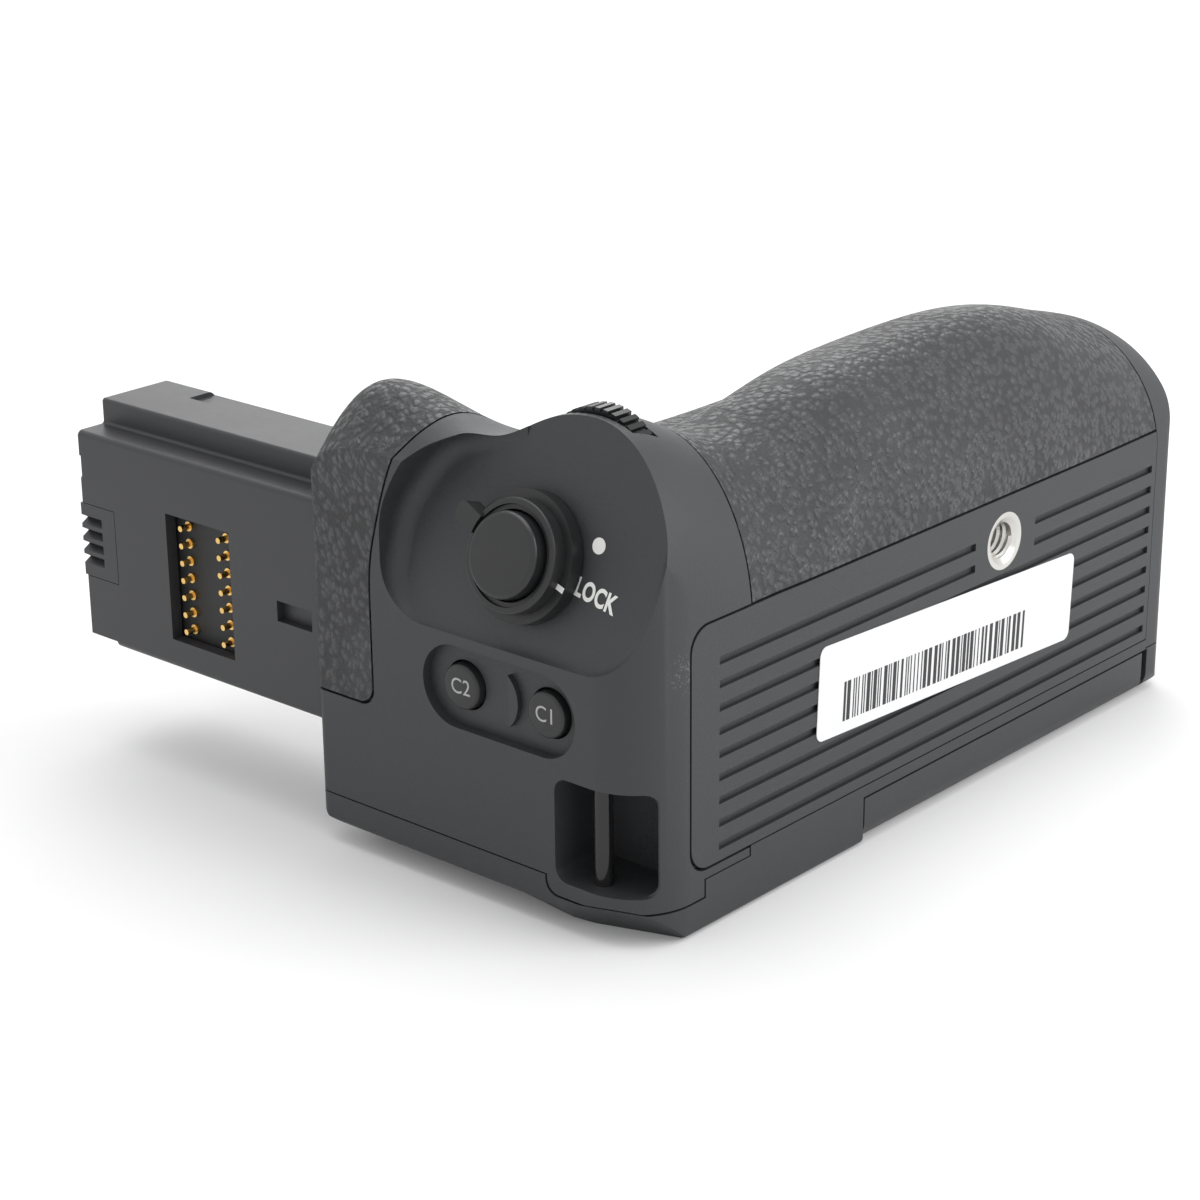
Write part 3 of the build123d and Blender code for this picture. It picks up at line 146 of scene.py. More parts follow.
class Graph:
    """Node tree of one material."""

    def __init__(self, name: str) -> None:
        """Start an empty material with a Principled shader."""
        self.material = bpy.data.materials.new(name)
        self.material.use_nodes = True
        self.tree = self.material.node_tree
        self.tree.nodes.clear()
        self.surface = self.tree.nodes.new("ShaderNodeBsdfPrincipled")
        output = self.tree.nodes.new("ShaderNodeOutputMaterial")
        self.tree.links.new(self.surface.outputs[0], output.inputs[0])
        self.output = output

    def add(self, kind: str, settings: dict, inputs: dict, out: int | str = 0) -> Wire:
        """Add any node.

        Args:
            kind: Node type.
            settings: Attributes set first.
            inputs: Values or links of its sockets.
            out: Output socket wanted.

        Returns:
            The wanted output.
        """
        node = self.tree.nodes.new(kind)
        for key, value in settings.items():
            setattr(node, key, value)
        for key, value in inputs.items():
            value = value.value if isinstance(value, Wire) else value
            if isinstance(value, bpy.types.NodeSocket):
                self.tree.links.new(value, node.inputs[key])
            else:
                node.inputs[key].default_value = value
        return Wire(self, node.outputs[out])

    def coordinates(self) -> Wire:
        """Object coordinates in metres."""
        return self.add("ShaderNodeTexCoord", {}, {}, "Object")

    def near(self, point: Vector, reach: float) -> Wire:
        """Closeness to a point of the frame.

        Args:
            point: The point in metres.
            reach: Distance at which it falls to 0.

        Returns:
            1 at the point, 0 beyond its reach.
        """
        inputs = {0: self.coordinates(), 1: tuple(point)}
        away = self.add("ShaderNodeVectorMath", {"operation": "DISTANCE"}, inputs, "Value")
        return 1 - away.ramp(0.0, reach)

    def noise(self, scale: float, detail: float = 3.0, rough: float = 0.55) -> Wire:
        """Noise over the object, cells per metre."""
        inputs = {"Vector": self.coordinates(), "Scale": scale, "Detail": detail, "Roughness": rough}
        return self.add("ShaderNodeTexNoise", {}, inputs)

    def mix(self, factor: Wire | float, low: Wire | Colour, high: Wire | Colour) -> Wire:
        """Mix two colours.

        Args:
            factor: 0 for low, 1 for high.
            low: First colour.
            high: Second colour.

        Returns:
            The mixed colour.
        """
        low = low if isinstance(low, Wire) else (*low, 1.0)
        high = high if isinstance(high, Wire) else (*high, 1.0)
        inputs = {0: factor, 6: low, 7: high}
        return self.add("ShaderNodeMix", {"data_type": "RGBA"}, inputs, 2)

    def set(self, name: str, value: "Wire | float | Colour") -> None:
        """Set or link an input of the Principled shader."""
        socket = self.surface.inputs[name]
        if isinstance(value, Wire):
            self.tree.links.new(value.value, socket)
        elif isinstance(value, tuple):
            socket.default_value = (*value, 1.0)
        else:
            socket.default_value = value

    def bump(self, height: Wire, distance: float) -> None:
        """Bump the surface at full strength.

        Args:
            height: Height from 0 to 1.
            distance: Depth of the bump in metres.
        """
        inputs = {"Height": height, "Distance": distance, "Strength": 1.0}
        self.set("Normal", self.add("ShaderNodeBump", {}, inputs))


# Finishes


def scaled(colour: Colour, share: float) -> Colour:
    """A colour made darker or lighter by a share of itself."""
    return tuple(share * part for part in colour)


@dataclass(frozen=True)
class Moulded:
    """Moulded black plastic with a spark-eroded grain, slight wear and a few light scuffs."""

    name: str
    colour: Colour = (0.034, 0.0355, 0.0385)
    roughness: float = 0.46
    grain_scale: float = 5200.0
    grain_depth: float = 0.00005
    scuffs: float = 0.5
    rubbed: tuple[tuple[float, float, float, float], ...] = ()
    patch_scale: float = 45.0
    fine_scale: float = 900.0
    speck_scale: float = 1500.0
    speck_limits: tuple[float, float] = (0.73, 0.78)
    speck_colour: Colour = (0.2, 0.2, 0.2)
    worn_scale: float = 2400.0
    worn_limits: tuple[float, float] = (0.54, 0.64)
    worn_colour: Colour = (0.28, 0.28, 0.28)
    worn_share: float = 0.55

    def make(self) -> bpy.types.Material:
        """Build the material."""
        graph = Graph(self.name)
        grain = graph.noise(self.grain_scale, 2.0, 0.6)
        patches = graph.noise(self.patch_scale, 4.0)
        fine = graph.noise(self.fine_scale, 4.0, 0.7)
        specks = graph.noise(self.speck_scale, 3.0, 0.6).ramp(*self.speck_limits) * patches.ramp(0.5, 0.75)
        colour = graph.mix(fine * 0.5 + patches * 0.5, scaled(self.colour, 0.86), scaled(self.colour, 1.16))
        colour = graph.mix(specks * (0.5 * self.scuffs), colour, self.speck_colour)
        if self.rubbed:
            near = Wire(graph, 0.0)
            for x, y, z, reach in self.rubbed:
                near = graph.near(place(x, y, z), reach * MM).highest(near)
            worn = graph.noise(self.worn_scale, 4.0, 0.7).ramp(*self.worn_limits) * near
            colour = graph.mix(worn * self.worn_share, colour, self.worn_colour)
        graph.set("Base Color", colour)
        graph.set("Roughness", patches * 0.12 + fine * 0.08 + (self.roughness - 0.1))
        graph.set("Specular IOR Level", 0.45)
        graph.bump(grain + fine * 0.4, self.grain_depth)
        return graph.material


@dataclass(frozen=True)
class Pebbled:
    """Leather-look rubber with irregular pebbles and creases, painted shade in the creases, shinier where
    hands rub it.
    """

    name: str
    colour: Colour = (0.036, 0.037, 0.04)
    cells: float = 820.0
    depth: float = 0.00028
    roughness: float = 0.4
    warp_scale: float = 330.0
    warp_reach: float = 0.0012
    grain_ratio: float = 2.4
    wave_scale: float = 420.0
    area_scale: float = 70.0

    def make(self) -> bpy.types.Material:
        """Build the material."""
        graph = Graph(self.name)
        warp = graph.add(
            "ShaderNodeTexNoise",
            {},
            {"Vector": graph.coordinates(), "Scale": self.warp_scale, "Detail": 2.0},
            "Color",
        )
        shift = graph.add(
            "ShaderNodeVectorMath", {"operation": "SCALE"}, {0: warp, "Scale": self.warp_reach}
        )
        spot = graph.add(
            "ShaderNodeVectorMath", {"operation": "ADD"}, {0: graph.coordinates(), 1: shift}
        )
        dome = graph.add(
            "ShaderNodeTexVoronoi",
            {"feature": "SMOOTH_F1"},
            {"Vector": spot, "Scale": self.cells, "Smoothness": 0.25, "Randomness": 0.85},
        )
        grain = graph.add(
            "ShaderNodeTexVoronoi",
            {"feature": "SMOOTH_F1"},
            {"Vector": spot, "Scale": self.cells * self.grain_ratio, "Smoothness": 0.3},
        )
        pebble = 1 - dome.ramp(0.12, 0.72)
        areas = graph.noise(self.area_scale, 3.0)
        waves = graph.noise(self.wave_scale, 2.0)
        height = pebble * 0.8 + (1 - grain.ramp(0.1, 0.7)) * 0.2 + waves * 0.25
        crease_shade_mask = 1 - pebble.ramp(0.0, 0.5)
        rubbed = areas.ramp(0.42, 0.68)
        # Painted shade: the creases between the pebbles are painted darker in the base colour
        colour = graph.mix(crease_shade_mask, self.colour, scaled(self.colour, 0.7))
        colour = graph.mix(rubbed * 0.25, colour, scaled(self.colour, 1.3))
        graph.set("Base Color", colour)
        graph.set("Roughness", crease_shade_mask * 0.22 + self.roughness - rubbed * 0.1)
        graph.set("Specular IOR Level", 0.5)
        graph.bump(height, self.depth)
        return graph.material


@dataclass(frozen=True)
class Gloss:
    """Smooth black plastic or paint with faint handling marks."""

    name: str
    colour: Colour = (0.013, 0.0135, 0.0145)
    roughness: float = 0.28
    mark_scale: float = 260.0
    ripple_scale: float = 3000.0
    ripple_depth: float = 0.000012

    def make(self) -> bpy.types.Material:
        """Build the material."""
        graph = Graph(self.name)
        marks = graph.noise(self.mark_scale, 5.0, 0.65)
        graph.set("Base Color", graph.mix(marks * 0.5, self.colour, scaled(self.colour, 1.3)))
        graph.set("Roughness", marks.ramp(0.35, 0.8) * 0.16 + self.roughness)
        graph.bump(graph.noise(self.ripple_scale, 2.0), self.ripple_depth)
        return graph.material


@dataclass(frozen=True)
class Metal:
    """Bare or plated metal with turning marks."""

    name: str
    colour: Colour
    roughness: float = 0.28
    mark_scale: float = 3800.0
    mark_depth: float = 0.00001
    wear_scale: float = 240.0

    def make(self) -> bpy.types.Material:
        """Build the material."""
        graph = Graph(self.name)
        wear = graph.noise(self.wear_scale, 4.0)
        fine = graph.noise(self.mark_scale, 2.0)
        graph.set("Base Color", graph.mix(wear * 0.4, self.colour, scaled(self.colour, 0.72)))
        graph.set("Metallic", 1.0)
        graph.set("Roughness", wear * 0.14 + fine * 0.06 + (self.roughness - 0.08))
        graph.bump(fine, self.mark_depth)
        return graph.material


@dataclass(frozen=True)
class Board:
    """Solder-masked circuit board with faint copper tracks."""

    name: str
    colour: Colour = (0.012, 0.09, 0.035)
    track_colour: Colour = (0.03, 0.17, 0.06)
    track_scale: float = 420.0
    track_height: float = 0.00003
    roughness: float = 0.3

    def make(self) -> bpy.types.Material:
        """Build the material."""
        graph = Graph(self.name)
        tracks = graph.add(
            "ShaderNodeTexVoronoi",
            {"feature": "DISTANCE_TO_EDGE", "distance": "EUCLIDEAN"},
            {"Vector": graph.coordinates(), "Scale": self.track_scale},
        )
        line = 1 - tracks.ramp(0.04, 0.07)
        graph.set("Base Color", graph.mix(line * 0.6, self.colour, self.track_colour))
        graph.set("Roughness", line * 0.12 + self.roughness)
        graph.bump(line, self.track_height)
        return graph.material


@dataclass(frozen=True)
class Printed:
    """Ink or paper with a faint texture."""

    name: str
    colour: Colour
    roughness: float = 0.5
    fibre_scale: float = 1800.0
    fibre_depth: float = 0.00001

    def make(self) -> bpy.types.Material:
        """Build the material."""
        graph = Graph(self.name)
        fibre = graph.noise(self.fibre_scale, 4.0)
        graph.set("Base Color", graph.mix(fibre * 0.35, self.colour, scaled(self.colour, 0.86)))
        graph.set("Roughness", fibre * 0.1 + (self.roughness - 0.05))
        graph.bump(fibre, self.fibre_depth)
        return graph.material


def finish_field(kind: type, *values: object, **named: object) -> bpy.types.Material:
    """Field that holds a finish, made when the finishes are.

    Args:
        kind: Class of the finish.
        values: Its values in order.
        named: Its values by name.

    Returns:
        The field, which is the material once the finishes are made.
    """
    return field(default_factory=lambda: kind(*values, **named).make())


@dataclass
class Finishes:
    """Every finish, made once."""

    housing: bpy.types.Material = finish_field(Moulded, "housing_plastic", rubbed=WORN)
    ribbed: bpy.types.Material = finish_field(
        Moulded, "base_plastic", (0.038, 0.0395, 0.042), 0.5, 4200.0, 0.00007, 0.3
    )
    column: bpy.types.Material = finish_field(
        Moulded, "column_plastic", (0.032, 0.033, 0.036), 0.4, 6000.0, 0.00003, 0.2
    )
    hidden: bpy.types.Material = finish_field(
        Moulded, "inner_plastic", (0.02, 0.0205, 0.022), 0.55, 3600.0, 0.00004, 0.0
    )
    leather: bpy.types.Material = finish_field(Pebbled, "grip_leather")
    door: bpy.types.Material = finish_field(
        Moulded, "door_plastic", (0.035, 0.0365, 0.039), 0.44, 4800.0, 0.00004, 0.4
    )
    dial: bpy.types.Material = finish_field(
        Moulded, "dial_black", (0.012, 0.0125, 0.0135), 0.26, 3000.0, 0.00001, 0.0
    )
    pad: bpy.types.Material = finish_field(
        Moulded, "pad_rubber", (0.013, 0.0135, 0.0145), 0.6, 2400.0, 0.00004, 0.0
    )
    gloss: bpy.types.Material = finish_field(Gloss, "button_gloss")
    lever: bpy.types.Material = finish_field(Gloss, "lever_satin", (0.014, 0.0145, 0.0155), 0.36)
    rod: bpy.types.Material = finish_field(Gloss, "eyelet_bar", (0.012, 0.012, 0.012), 0.07)
    pack: bpy.types.Material = finish_field(
        Moulded, "pack_plastic", (0.04, 0.041, 0.044), 0.42, 4000.0, 0.00003, 0.1
    )
    steel: bpy.types.Material = finish_field(Metal, "insert_steel", (0.66, 0.65, 0.62))
    oxide: bpy.types.Material = finish_field(Metal, "screw_black", (0.07, 0.07, 0.075), 0.4)
    gold: bpy.types.Material = finish_field(Metal, "contact_gold", (0.84, 0.56, 0.2), 0.26)
    board: bpy.types.Material = finish_field(Board, "board_mask")
    white: bpy.types.Material = finish_field(Printed, "white_ink", (0.8, 0.8, 0.78))
    grey: bpy.types.Material = finish_field(Printed, "grey_ink", (0.42, 0.42, 0.42))
    paper: bpy.types.Material = finish_field(Printed, "label_paper", (0.83, 0.83, 0.84), 0.42)
    black: bpy.types.Material = finish_field(Printed, "black_ink", (0.02, 0.02, 0.022))


# Pieces


def stand(name: str, data: bpy.types.ID) -> bpy.types.Object:
    """New object in the scene."""
    thing = bpy.data.objects.new(name, data)
    bpy.context.scene.collection.objects.link(thing)
    return thing


def dress(names: list[str], finish: bpy.types.Material, angle: float = 32.0) -> None:
    """Give CAD nodes a finish and smooth shading up to an edge angle.

    Args:
        names: CAD nodes.
        finish: Their material.
        angle: Largest angle in degrees that shades smooth.
    """
    for name in names:
        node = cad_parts[name]
        node.data.materials.clear()
        node.data.materials.append(finish)
        node.data.polygons.foreach_set("use_smooth", [True] * len(node.data.polygons))
        weld = node.modifiers.new("join", "WELD")
        weld.merge_threshold = WELD_REACH
        split = node.modifiers.new("edges", "EDGE_SPLIT")
        split.split_angle = math.radians(angle)
        LOG.info("dressed %s with %s", name, finish.name)


def piece(
    name: str, shape: bmesh.types.BMesh, finish: bpy.types.Material, body: Body
) -> bpy.types.Object:
    """Make an object from a shape and let it ride on a body.

    Args:
        name: Object name.
        shape: Its mesh, already in place.
        finish: Its material.
        body: Body that it rides on.

    Returns:
        The new object.
    """
    mesh = bpy.data.meshes.new(name)
    bmesh.ops.recalc_face_normals(shape, faces=shape.faces)
    shape.to_mesh(mesh)
    shape.free()
    mesh.materials.append(finish)
    made = stand(name, mesh)
    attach(made, body.value)
    LOG.info("made %s", name)
    return made


def axes(origin: Vector, across: Vector, up: Vector) -> Matrix:
    """Matrix that lays a flat drawing on a plane.

    Args:
        origin: Where the drawing's origin goes.
        across: Direction of the drawing's first axis.
        up: Direction of its second axis.

    Returns:
        The placing matrix.
    """
    across = across.normalized()
    normal = across.cross(up).normalized()
    up = normal.cross(across)
    turn = Matrix((across, up, normal)).transposed().to_4x4()
    return Matrix.Translation(origin) @ turn


def plate(
    width: float, height: float, thickness: float, corner: float, where: Matrix
) -> bmesh.types.BMesh:
    """Thin plate with rounded corners.

    Args:
        width: Size along its first axis.
        height: Size along its second axis.
        thickness: Size along its normal.
        corner: Corner radius, or 0.
        where: Placing matrix of its centre on the surface.

    Returns:
        The plate.
    """
    shape = bmesh.new()
    bmesh.ops.create_cube(shape, size=1.0)
    bmesh.ops.scale(shape, vec=(width, height, thickness), verts=shape.verts)
    bmesh.ops.translate(shape, vec=(0, 0, thickness / 2), verts=shape.verts)
    if corner:
        upright = [e for e in shape.edges if abs((e.verts[0].co - e.verts[1].co).z) > thickness / 2]
        bmesh.ops.bevel(
            shape, geom=upright, offset=corner, segments=6, profile=0.5, affect="EDGES", material=-1
        )
    bmesh.ops.transform(shape, matrix=where, verts=shape.verts)
    return shape


def round_plate(radius: float, thickness: float, where: Matrix) -> bmesh.types.BMesh:
    """Thin round plate standing on a plane."""
    shape = bmesh.new()
    bmesh.ops.create_cone(
        shape, cap_ends=True, segments=40, radius1=radius, radius2=radius, depth=thickness
    )
    bmesh.ops.translate(shape, vec=(0, 0, thickness / 2), verts=shape.verts)
    bmesh.ops.transform(shape, matrix=where, verts=shape.verts)
    return shape


def lettering(
    words: str, height: float, weight: float, narrow: float, where: Matrix
) -> bmesh.types.BMesh:
    """Raised print of a few letters, centred on its place.

    Args:
        words: The letters.
        height: Letter height in metres.
        weight: Extra stroke width as a share of the height.
        narrow: Width scale of the letters.
        where: Placing matrix.

    Returns:
        The print as a mesh.
    """
    capital_share = 0.69  # Capital height over font size
    curve = bpy.data.curves.new("letters", "FONT")
    curve.body = words
    curve.align_x = "CENTER"
    curve.align_y = "CENTER"
    curve.size = height / capital_share
    curve.offset = weight * height
    curve.extrude = INK_DEPTH
    curve.space_character = 1.02 + weight
    holder = stand("letters", curve)
    bpy.context.view_layer.update()
    ready = holder.evaluated_get(bpy.context.evaluated_depsgraph_get())
    mesh = bpy.data.meshes.new_from_object(ready)
    shape = bmesh.new()
    shape.from_mesh(mesh)
    bmesh.ops.scale(shape, vec=(narrow, 1.0, 1.0), verts=shape.verts)
    bmesh.ops.transform(shape, matrix=where, verts=shape.verts)
    bpy.data.objects.remove(holder)
    bpy.data.curves.remove(curve)
    bpy.data.meshes.remove(mesh)
    return shape


def thread(
    radius: float, pitch: float, turns: float, depth: float, where: Matrix
) -> bmesh.types.BMesh:
    """Helical ridge that rises along the normal of its plane.

    Args:
        radius: Radius of the wall that it stands on.
        pitch: Rise of each turn.
        turns: Number of turns.
        depth: Height of its crest over the wall, on both sides of it.
        where: Placing matrix, the helix rising along its normal.

    Returns:
        The ridge.
    """
    shape = bmesh.new()
    steps_per_turn = 36
    half_width = 0.42 * pitch
    bmesh.ops.create_circle(shape, cap_ends=True, segments=4, radius=1.0)
    bmesh.ops.rotate(shape, matrix=Matrix.Rotation(math.pi / 2, 3, "X"), verts=shape.verts)
    bmesh.ops.scale(shape, vec=(depth, 1.0, half_width), verts=shape.verts)
    bmesh.ops.translate(shape, vec=(radius, 0, 0), verts=shape.verts)
    bmesh.ops.spin(
        shape,
        geom=[*shape.faces, *shape.edges, *shape.verts],
        cent=(0, 0, 0),
        axis=(0, 0, 1),
        dvec=(0, 0, pitch / steps_per_turn),
        angle=2 * math.pi * turns,
        steps=int(steps_per_turn * turns),
        use_merge=False,
    )
    bmesh.ops.transform(shape, matrix=where, verts=shape.verts)
    return shape


# Sub-assemblies


@dataclass
class Housing:
    """Shells, leathers and plates of the body."""

    finishes: Finishes

    def dress(self) -> None:
        """Give the shells and leathers their finishes."""
        f = self.finishes
        dress(["end_cap", "rear_shell", "end_strip", "mating_plate"], f.housing)
        dress(["base_shell"], f.ribbed)
        dress(["corner_leather", "hand_grip_leather", "thumb_leather"], f.leather)
        dress(["front_shell", "battery_bay", "drive_frame", "battery_tray"], f.hidden)
        dress(["mating_pad"], f.pad)
        dress(["housing_screws", "door_hinge_pin", "dial_axles"], f.oxide)
        dress(["strap_bar"], f.rod)
        dress(["battery_door"], f.door)
        dress(["door_lever"], f.lever)
        dress(["battery_pack_lower", "battery_pack_upper"], f.pack)


@dataclass
class ShutterEnd:
    """Tilted pad with the shutter button, its lever and the marks beside it.

    Places and lifts are in millimetres, as for place(), and sizes in metres.
    """

    finishes: Finishes
    tilt: float = math.radians(18.0)
    pad_x: float = 5.0
    pad_z: float = 49.0
    centre_y: float = 22.45
    centre_z: float = 47.9
    letter_at: tuple[float, float] = (11.1, 45.5)
    letter_lift: float = 0.06
    letter_height: float = 2.3 * MM
    letter_slant: float = math.radians(10.0)
    dot_at: tuple[float, float] = (12.1, 51.4)
    dot_radius: float = 1.05 * MM
    dot_thickness: float = 0.02 * MM
    lever_turn: float = math.radians(162.0)
    mark_reach: float = 8.0
    mark_lift: float = 2.5
    mark_size: tuple[float, float, float] = (1.25 * MM, 0.75 * MM, 0.03 * MM)

    def spot(self, y: float, z: float, lift: float) -> Vector:
        """Point on the pad at (y, z), lifted along its normal."""
        x = self.pad_x + (z - self.pad_z) * math.tan(self.tilt)
        return place(x - lift * math.cos(self.tilt), y, z + lift * math.sin(self.tilt))

    def up(self) -> Vector:
        """Direction up the pad."""
        return Vector((math.sin(self.tilt), 0, math.cos(self.tilt)))

    def dress(self) -> None:
        """Give the button, lever and springs their finishes."""
        f = self.finishes
        dress(["shutter_button"], f.gloss, 40.0)
        dress(["lock_lever", "shutter_collar"], f.lever)
        dress(["shutter_switch"], f.hidden)
        dress(["shutter_spring"], f.steel)

    def build(self) -> None:
        """Print the word, the dot and the lever's mark."""
        up = self.up()
        base = Vector((0, -1, 0))
        across = base * math.cos(self.letter_slant) - up * math.sin(self.letter_slant)
        where = axes(self.spot(*self.letter_at, self.letter_lift), across, up)
        word = lettering("LOCK", self.letter_height, 0.05, 0.74, where)
        piece("lock_legend", word, self.finishes.white, Body.HOUSING)
        where = axes(self.spot(*self.dot_at, 0.0), base, up)
        dot = round_plate(self.dot_radius, self.dot_thickness, where)
        piece("release_dot", dot, self.finishes.white, Body.HOUSING)
        # The lever points this way on the pad, its turn measured from the camera side down the pad
        aside = Vector((0, 1, 0)) * math.cos(self.lever_turn) - up * math.sin(self.lever_turn)
        outward = Vector((-math.cos(self.tilt), 0, math.sin(self.tilt)))
        centre = self.spot(self.centre_y, self.centre_z, self.mark_lift) + aside * self.mark_reach * MM
        mark = plate(*self.mark_size, 0.0, axes(centre, aside, outward.cross(aside)))
        piece("lever_pointer", mark, self.finishes.white, Body.LEVER)


@dataclass
class Controls:
    """Small buttons, dials and the thumb stick."""

    finishes: Finishes
    button_y: tuple[float, float] = (16.6, 31.4)
    button_z: float = 29.2
    print_x: float = 0.29
    letter_height: float = 2.1 * MM

    def dress(self) -> None:
        """Give the controls their finishes."""
        f = self.finishes
        dress(["custom_button_one", "custom_button_two"], f.lever, 40.0)
        dress(["focus_button", "exposure_button"], f.gloss, 40.0)
        dress(["front_dial", "rear_dial", "attachment_dial", "joystick_cap"], f.dial, 25.0)
        dress(["joystick_housing", "joystick_gimbal"], f.hidden)
        dress(["joystick_stem", "button_domes"], f.steel)
        dress(["button_board", "rear_board", "circuit_board"], f.board)
        dress(["board_components"], f.hidden)

    def build(self) -> None:
        """Print the two buttons."""
        across, up = Vector((0, -1, 0)), Vector((0, 0, 1))
        bodies = (Body.BUTTON_ONE, Body.BUTTON_TWO)
        for words, y, body in zip(("C1", "C2"), self.button_y, bodies):
            where = axes(place(self.print_x, y, self.button_z), across, up)
            shape = lettering(words, self.letter_height, 0.0, 0.95, where)
            piece(f"legend_{words}", shape, self.finishes.grey, body)


@dataclass
class Attachment:
    """Tripod insert, attachment screw and the paper label beside them.

    Places are in millimetres, as for place(), and sizes in metres, but the bars' in millimetres.
    """

    finishes: Finishes
    socket_x: float = 78.0
    socket_z: float = 35.5
    pitch: float = 1.27 * MM
    insert_y: float = 0.9
    insert_radius: float = 2.66 * MM
    insert_crest: float = 0.34 * MM
    screw_y: float = 59.6
    screw_radius: float = 3.08 * MM
    screw_crest: float = 0.16 * MM
    label_at: tuple[float, float, float] = (65.65, -0.02, 23.8)
    label_along: tuple[float, float, float] = (60.9, 0, -3.0)
    label_size: tuple[float, float, float] = (61.0 * MM, 13.3 * MM, 0.09 * MM)
    label_corner: float = 1.3 * MM
    bars_start: float = -25.0
    bars_length: float = 43.0
    bars_drop: float = 2.2
    bar_lift: float = 0.1
    bar_height: float = 5.6
    bar_thickness: float = 0.01
    bar_widths: tuple[float, ...] = (0.25, 0.25, 0.5, 0.75)
    bar_gaps: tuple[float, ...] = (0.25, 0.35, 0.6)

    def dress(self) -> None:
        """Give the metal pieces their finish."""
        dress(["tripod_socket", "attachment_screw", "locating_pin"], self.finishes.steel)

    def build(self) -> None:
        """Make the threads and lay the label."""
        along, down = Vector((1, 0, 0)), Vector((0, 0, -1))
        inward = axes(place(self.socket_x, self.insert_y, self.socket_z), along, down)
        ridge = thread(self.insert_radius, self.pitch * 0.8, 4.0, self.insert_crest, inward)
        piece("insert_thread", ridge, self.finishes.steel, Body.HOUSING)
        outward = axes(place(self.socket_x, self.screw_y, self.socket_z), along, down)
        ridge = thread(self.screw_radius, self.pitch, 2.7, self.screw_crest, outward)
        piece("screw_thread", ridge, self.finishes.steel, Body.SCREW)
        self._label()

    def _label(self) -> None:
        """Lay a plain paper label with generic bars over the ribs."""
        across = Vector(self.label_along).normalized()
        up = Vector((0, 0, 1))
        centre = place(*self.label_at)
        normal = across.cross(up)
        paper = plate(*self.label_size, self.label_corner, axes(centre, across, up))
        piece("paper_label", paper, self.finishes.paper, Body.HOUSING)
        rng = random.Random(7)
        bars = bmesh.new()
        at = 0.0
        while at < self.bars_length:
            width = rng.choice(self.bar_widths)
            spot = centre + across * (at + self.bars_start + width / 2) * MM
            spot = spot + (normal * self.bar_lift - up * self.bars_drop) * MM
            size = (width * MM, self.bar_height * MM, self.bar_thickness * MM)
            bar = plate(*size, 0.0, axes(spot, across, up))
            scrap = bpy.data.meshes.new("bar")
            bar.to_mesh(scrap)
            bar.free()
            bars.from_mesh(scrap)
            bpy.data.meshes.remove(scrap)
            at += width + rng.choice(self.bar_gaps)
        piece("label_bars", bars, self.finishes.black, Body.HOUSING)


@dataclass
class Column:
    """Connector column with its contacts."""

    finishes: Finishes

    def dress(self) -> None:
        """Give the column its finishes."""
        f = self.finishes
        dress(["column_shell", "column_cover", "column_end_insert"], f.column)
        dress(["column_contact_block"], f.hidden)
        dress(["column_contacts", "bay_contacts"], f.gold)


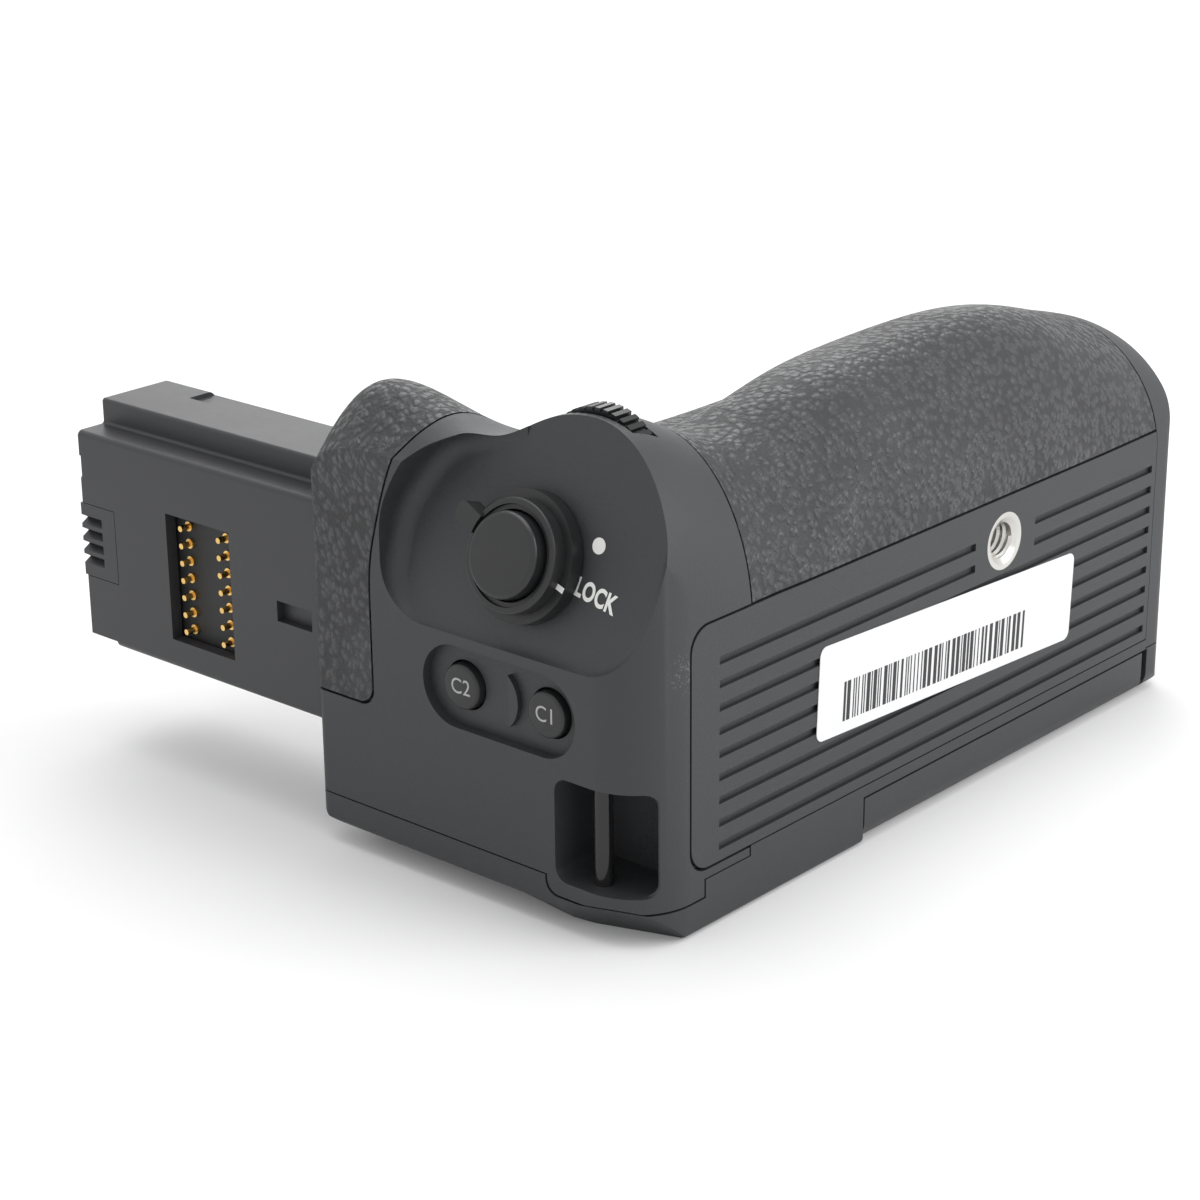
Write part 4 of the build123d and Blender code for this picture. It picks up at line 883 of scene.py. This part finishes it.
@dataclass
class Studio:
    """Floor, background, lamps and camera."""

    camera_at: Vector = field(default_factory=lambda: Vector((-308.13, -266.71, 169.43)) * MM)
    azimuth: float = math.radians(-48.4375)
    elevation: float = math.radians(20.2786)
    roll: float = math.radians(-0.581)
    lens: float = 86.966
    world_light: float = 0.75
    floor_size: float = 3.0
    floor_colour: Colour = (0.86, 0.86, 0.86)
    floor_glow: float = 0.05

    def build(self) -> None:
        """Set the scene up."""
        self._camera()
        self._world()
        self._floor()
        # Name, place and aim in metres, side in metres and power in watts
        lamps = (
            ("top", (0.05, 0.08, 0.8), (0.0, 0.0, 0.02), 0.7, 2.9),
            ("front", (0.35, -0.75, 0.45), (0.0, 0.0, 0.03), 0.6, 3.8),
            ("back", (0.55, 0.5, 0.5), (0.0, 0.0, 0.04), 0.5, 1.4),
        )
        for name, where, aim, size, power in lamps:
            self._lamp(name, Vector(where), Vector(aim), size, power)

    def _camera(self) -> None:
        """Stand the camera where the photograph was taken."""
        a, e = self.azimuth, self.elevation
        back = Vector((math.sin(a) * math.cos(e), -math.cos(a) * math.cos(e), math.sin(e)))
        level = Vector((math.cos(a), math.sin(a), 0))
        rise = back.cross(level)
        right = level * math.cos(self.roll) + rise * math.sin(self.roll)
        up = rise * math.cos(self.roll) - level * math.sin(self.roll)
        data = bpy.data.cameras.new("camera")
        data.lens = self.lens
        data.sensor_width = 36.0
        data.clip_start = 0.01
        camera = stand("camera", data)
        turn = Matrix((right, up, back)).transposed().to_4x4()
        camera.matrix_world = Matrix.Translation(self.camera_at) @ turn
        bpy.context.scene.camera = camera

    def _world(self) -> None:
        """White to the camera and in reflections, softer as light."""
        world = bpy.data.worlds.new("studio")
        bpy.context.scene.world = world
        world.use_nodes = True
        tree = world.node_tree
        tree.nodes.clear()
        path = tree.nodes.new("ShaderNodeLightPath")
        seen = path.outputs["Is Camera Ray"]
        for ray in ("Is Transmission Ray", "Is Glossy Ray"):
            either = tree.nodes.new("ShaderNodeMath")
            either.operation = "MAXIMUM"
            tree.links.new(seen, either.inputs[0])
            tree.links.new(path.outputs[ray], either.inputs[1])
            seen = either.outputs[0]
        level = tree.nodes.new("ShaderNodeMapRange")
        level.inputs[3].default_value = self.world_light
        level.inputs[4].default_value = 1.0
        tree.links.new(seen, level.inputs[0])
        shade = tree.nodes.new("ShaderNodeBackground")
        shade.inputs[0].default_value = (1, 1, 1, 1)
        tree.links.new(level.outputs[0], shade.inputs[1])
        output = tree.nodes.new("ShaderNodeOutputWorld")
        tree.links.new(shade.outputs[0], output.inputs[0])

    def _floor(self) -> None:
        """Pale floor that is open to views from below."""
        shape = bmesh.new()
        bmesh.ops.create_grid(shape, x_segments=1, y_segments=1, size=self.floor_size)
        mesh = bpy.data.meshes.new("floor")
        shape.to_mesh(mesh)
        shape.free()
        floor = stand("floor", mesh)
        graph = Graph("floor_paper")
        graph.set("Base Color", self.floor_colour)
        graph.set("Roughness", 0.9)
        graph.set("Specular IOR Level", 0.1)
        path = graph.add("ShaderNodeLightPath", {}, {}, "Is Camera Ray")
        graph.set("Emission Color", (1.0, 1.0, 1.0))
        graph.set("Emission Strength", path * self.floor_glow)
        clear = graph.add("ShaderNodeBsdfTransparent", {}, {})
        below = graph.add("ShaderNodeNewGeometry", {}, {}, "Backfacing")
        both = graph.add("ShaderNodeMixShader", {}, {0: below, 1: graph.surface.outputs[0], 2: clear})
        graph.tree.links.new(both.value, graph.output.inputs[0])
        mesh.materials.append(graph.material)

    def _lamp(self, name: str, where: Vector, aim: Vector, size: float, power: float) -> None:
        """Square soft lamp.

        Args:
            name: Lamp name.
            where: Its place.
            aim: Point it faces.
            size: Side length.
            power: Watts.
        """
        data = bpy.data.lights.new(name, "AREA")
        data.shape = "SQUARE"
        data.size = size
        data.energy = power
        turn = (aim - where).to_track_quat("-Z", "Y").to_matrix().to_4x4()
        stand(name, data).matrix_world = Matrix.Translation(where) @ turn


def main() -> None:
    """Dress the frame, add the pieces and set the studio."""
    logging.basicConfig(level=logging.INFO)
    bpy.context.scene.view_settings.view_transform = "Standard"
    finishes = Finishes()
    Housing(finishes).dress()
    Column(finishes).dress()
    for part in (ShutterEnd(finishes), Controls(finishes), Attachment(finishes)):
        part.dress()
        part.build()
    Studio().build()


if __name__ == "__main__":
    main()
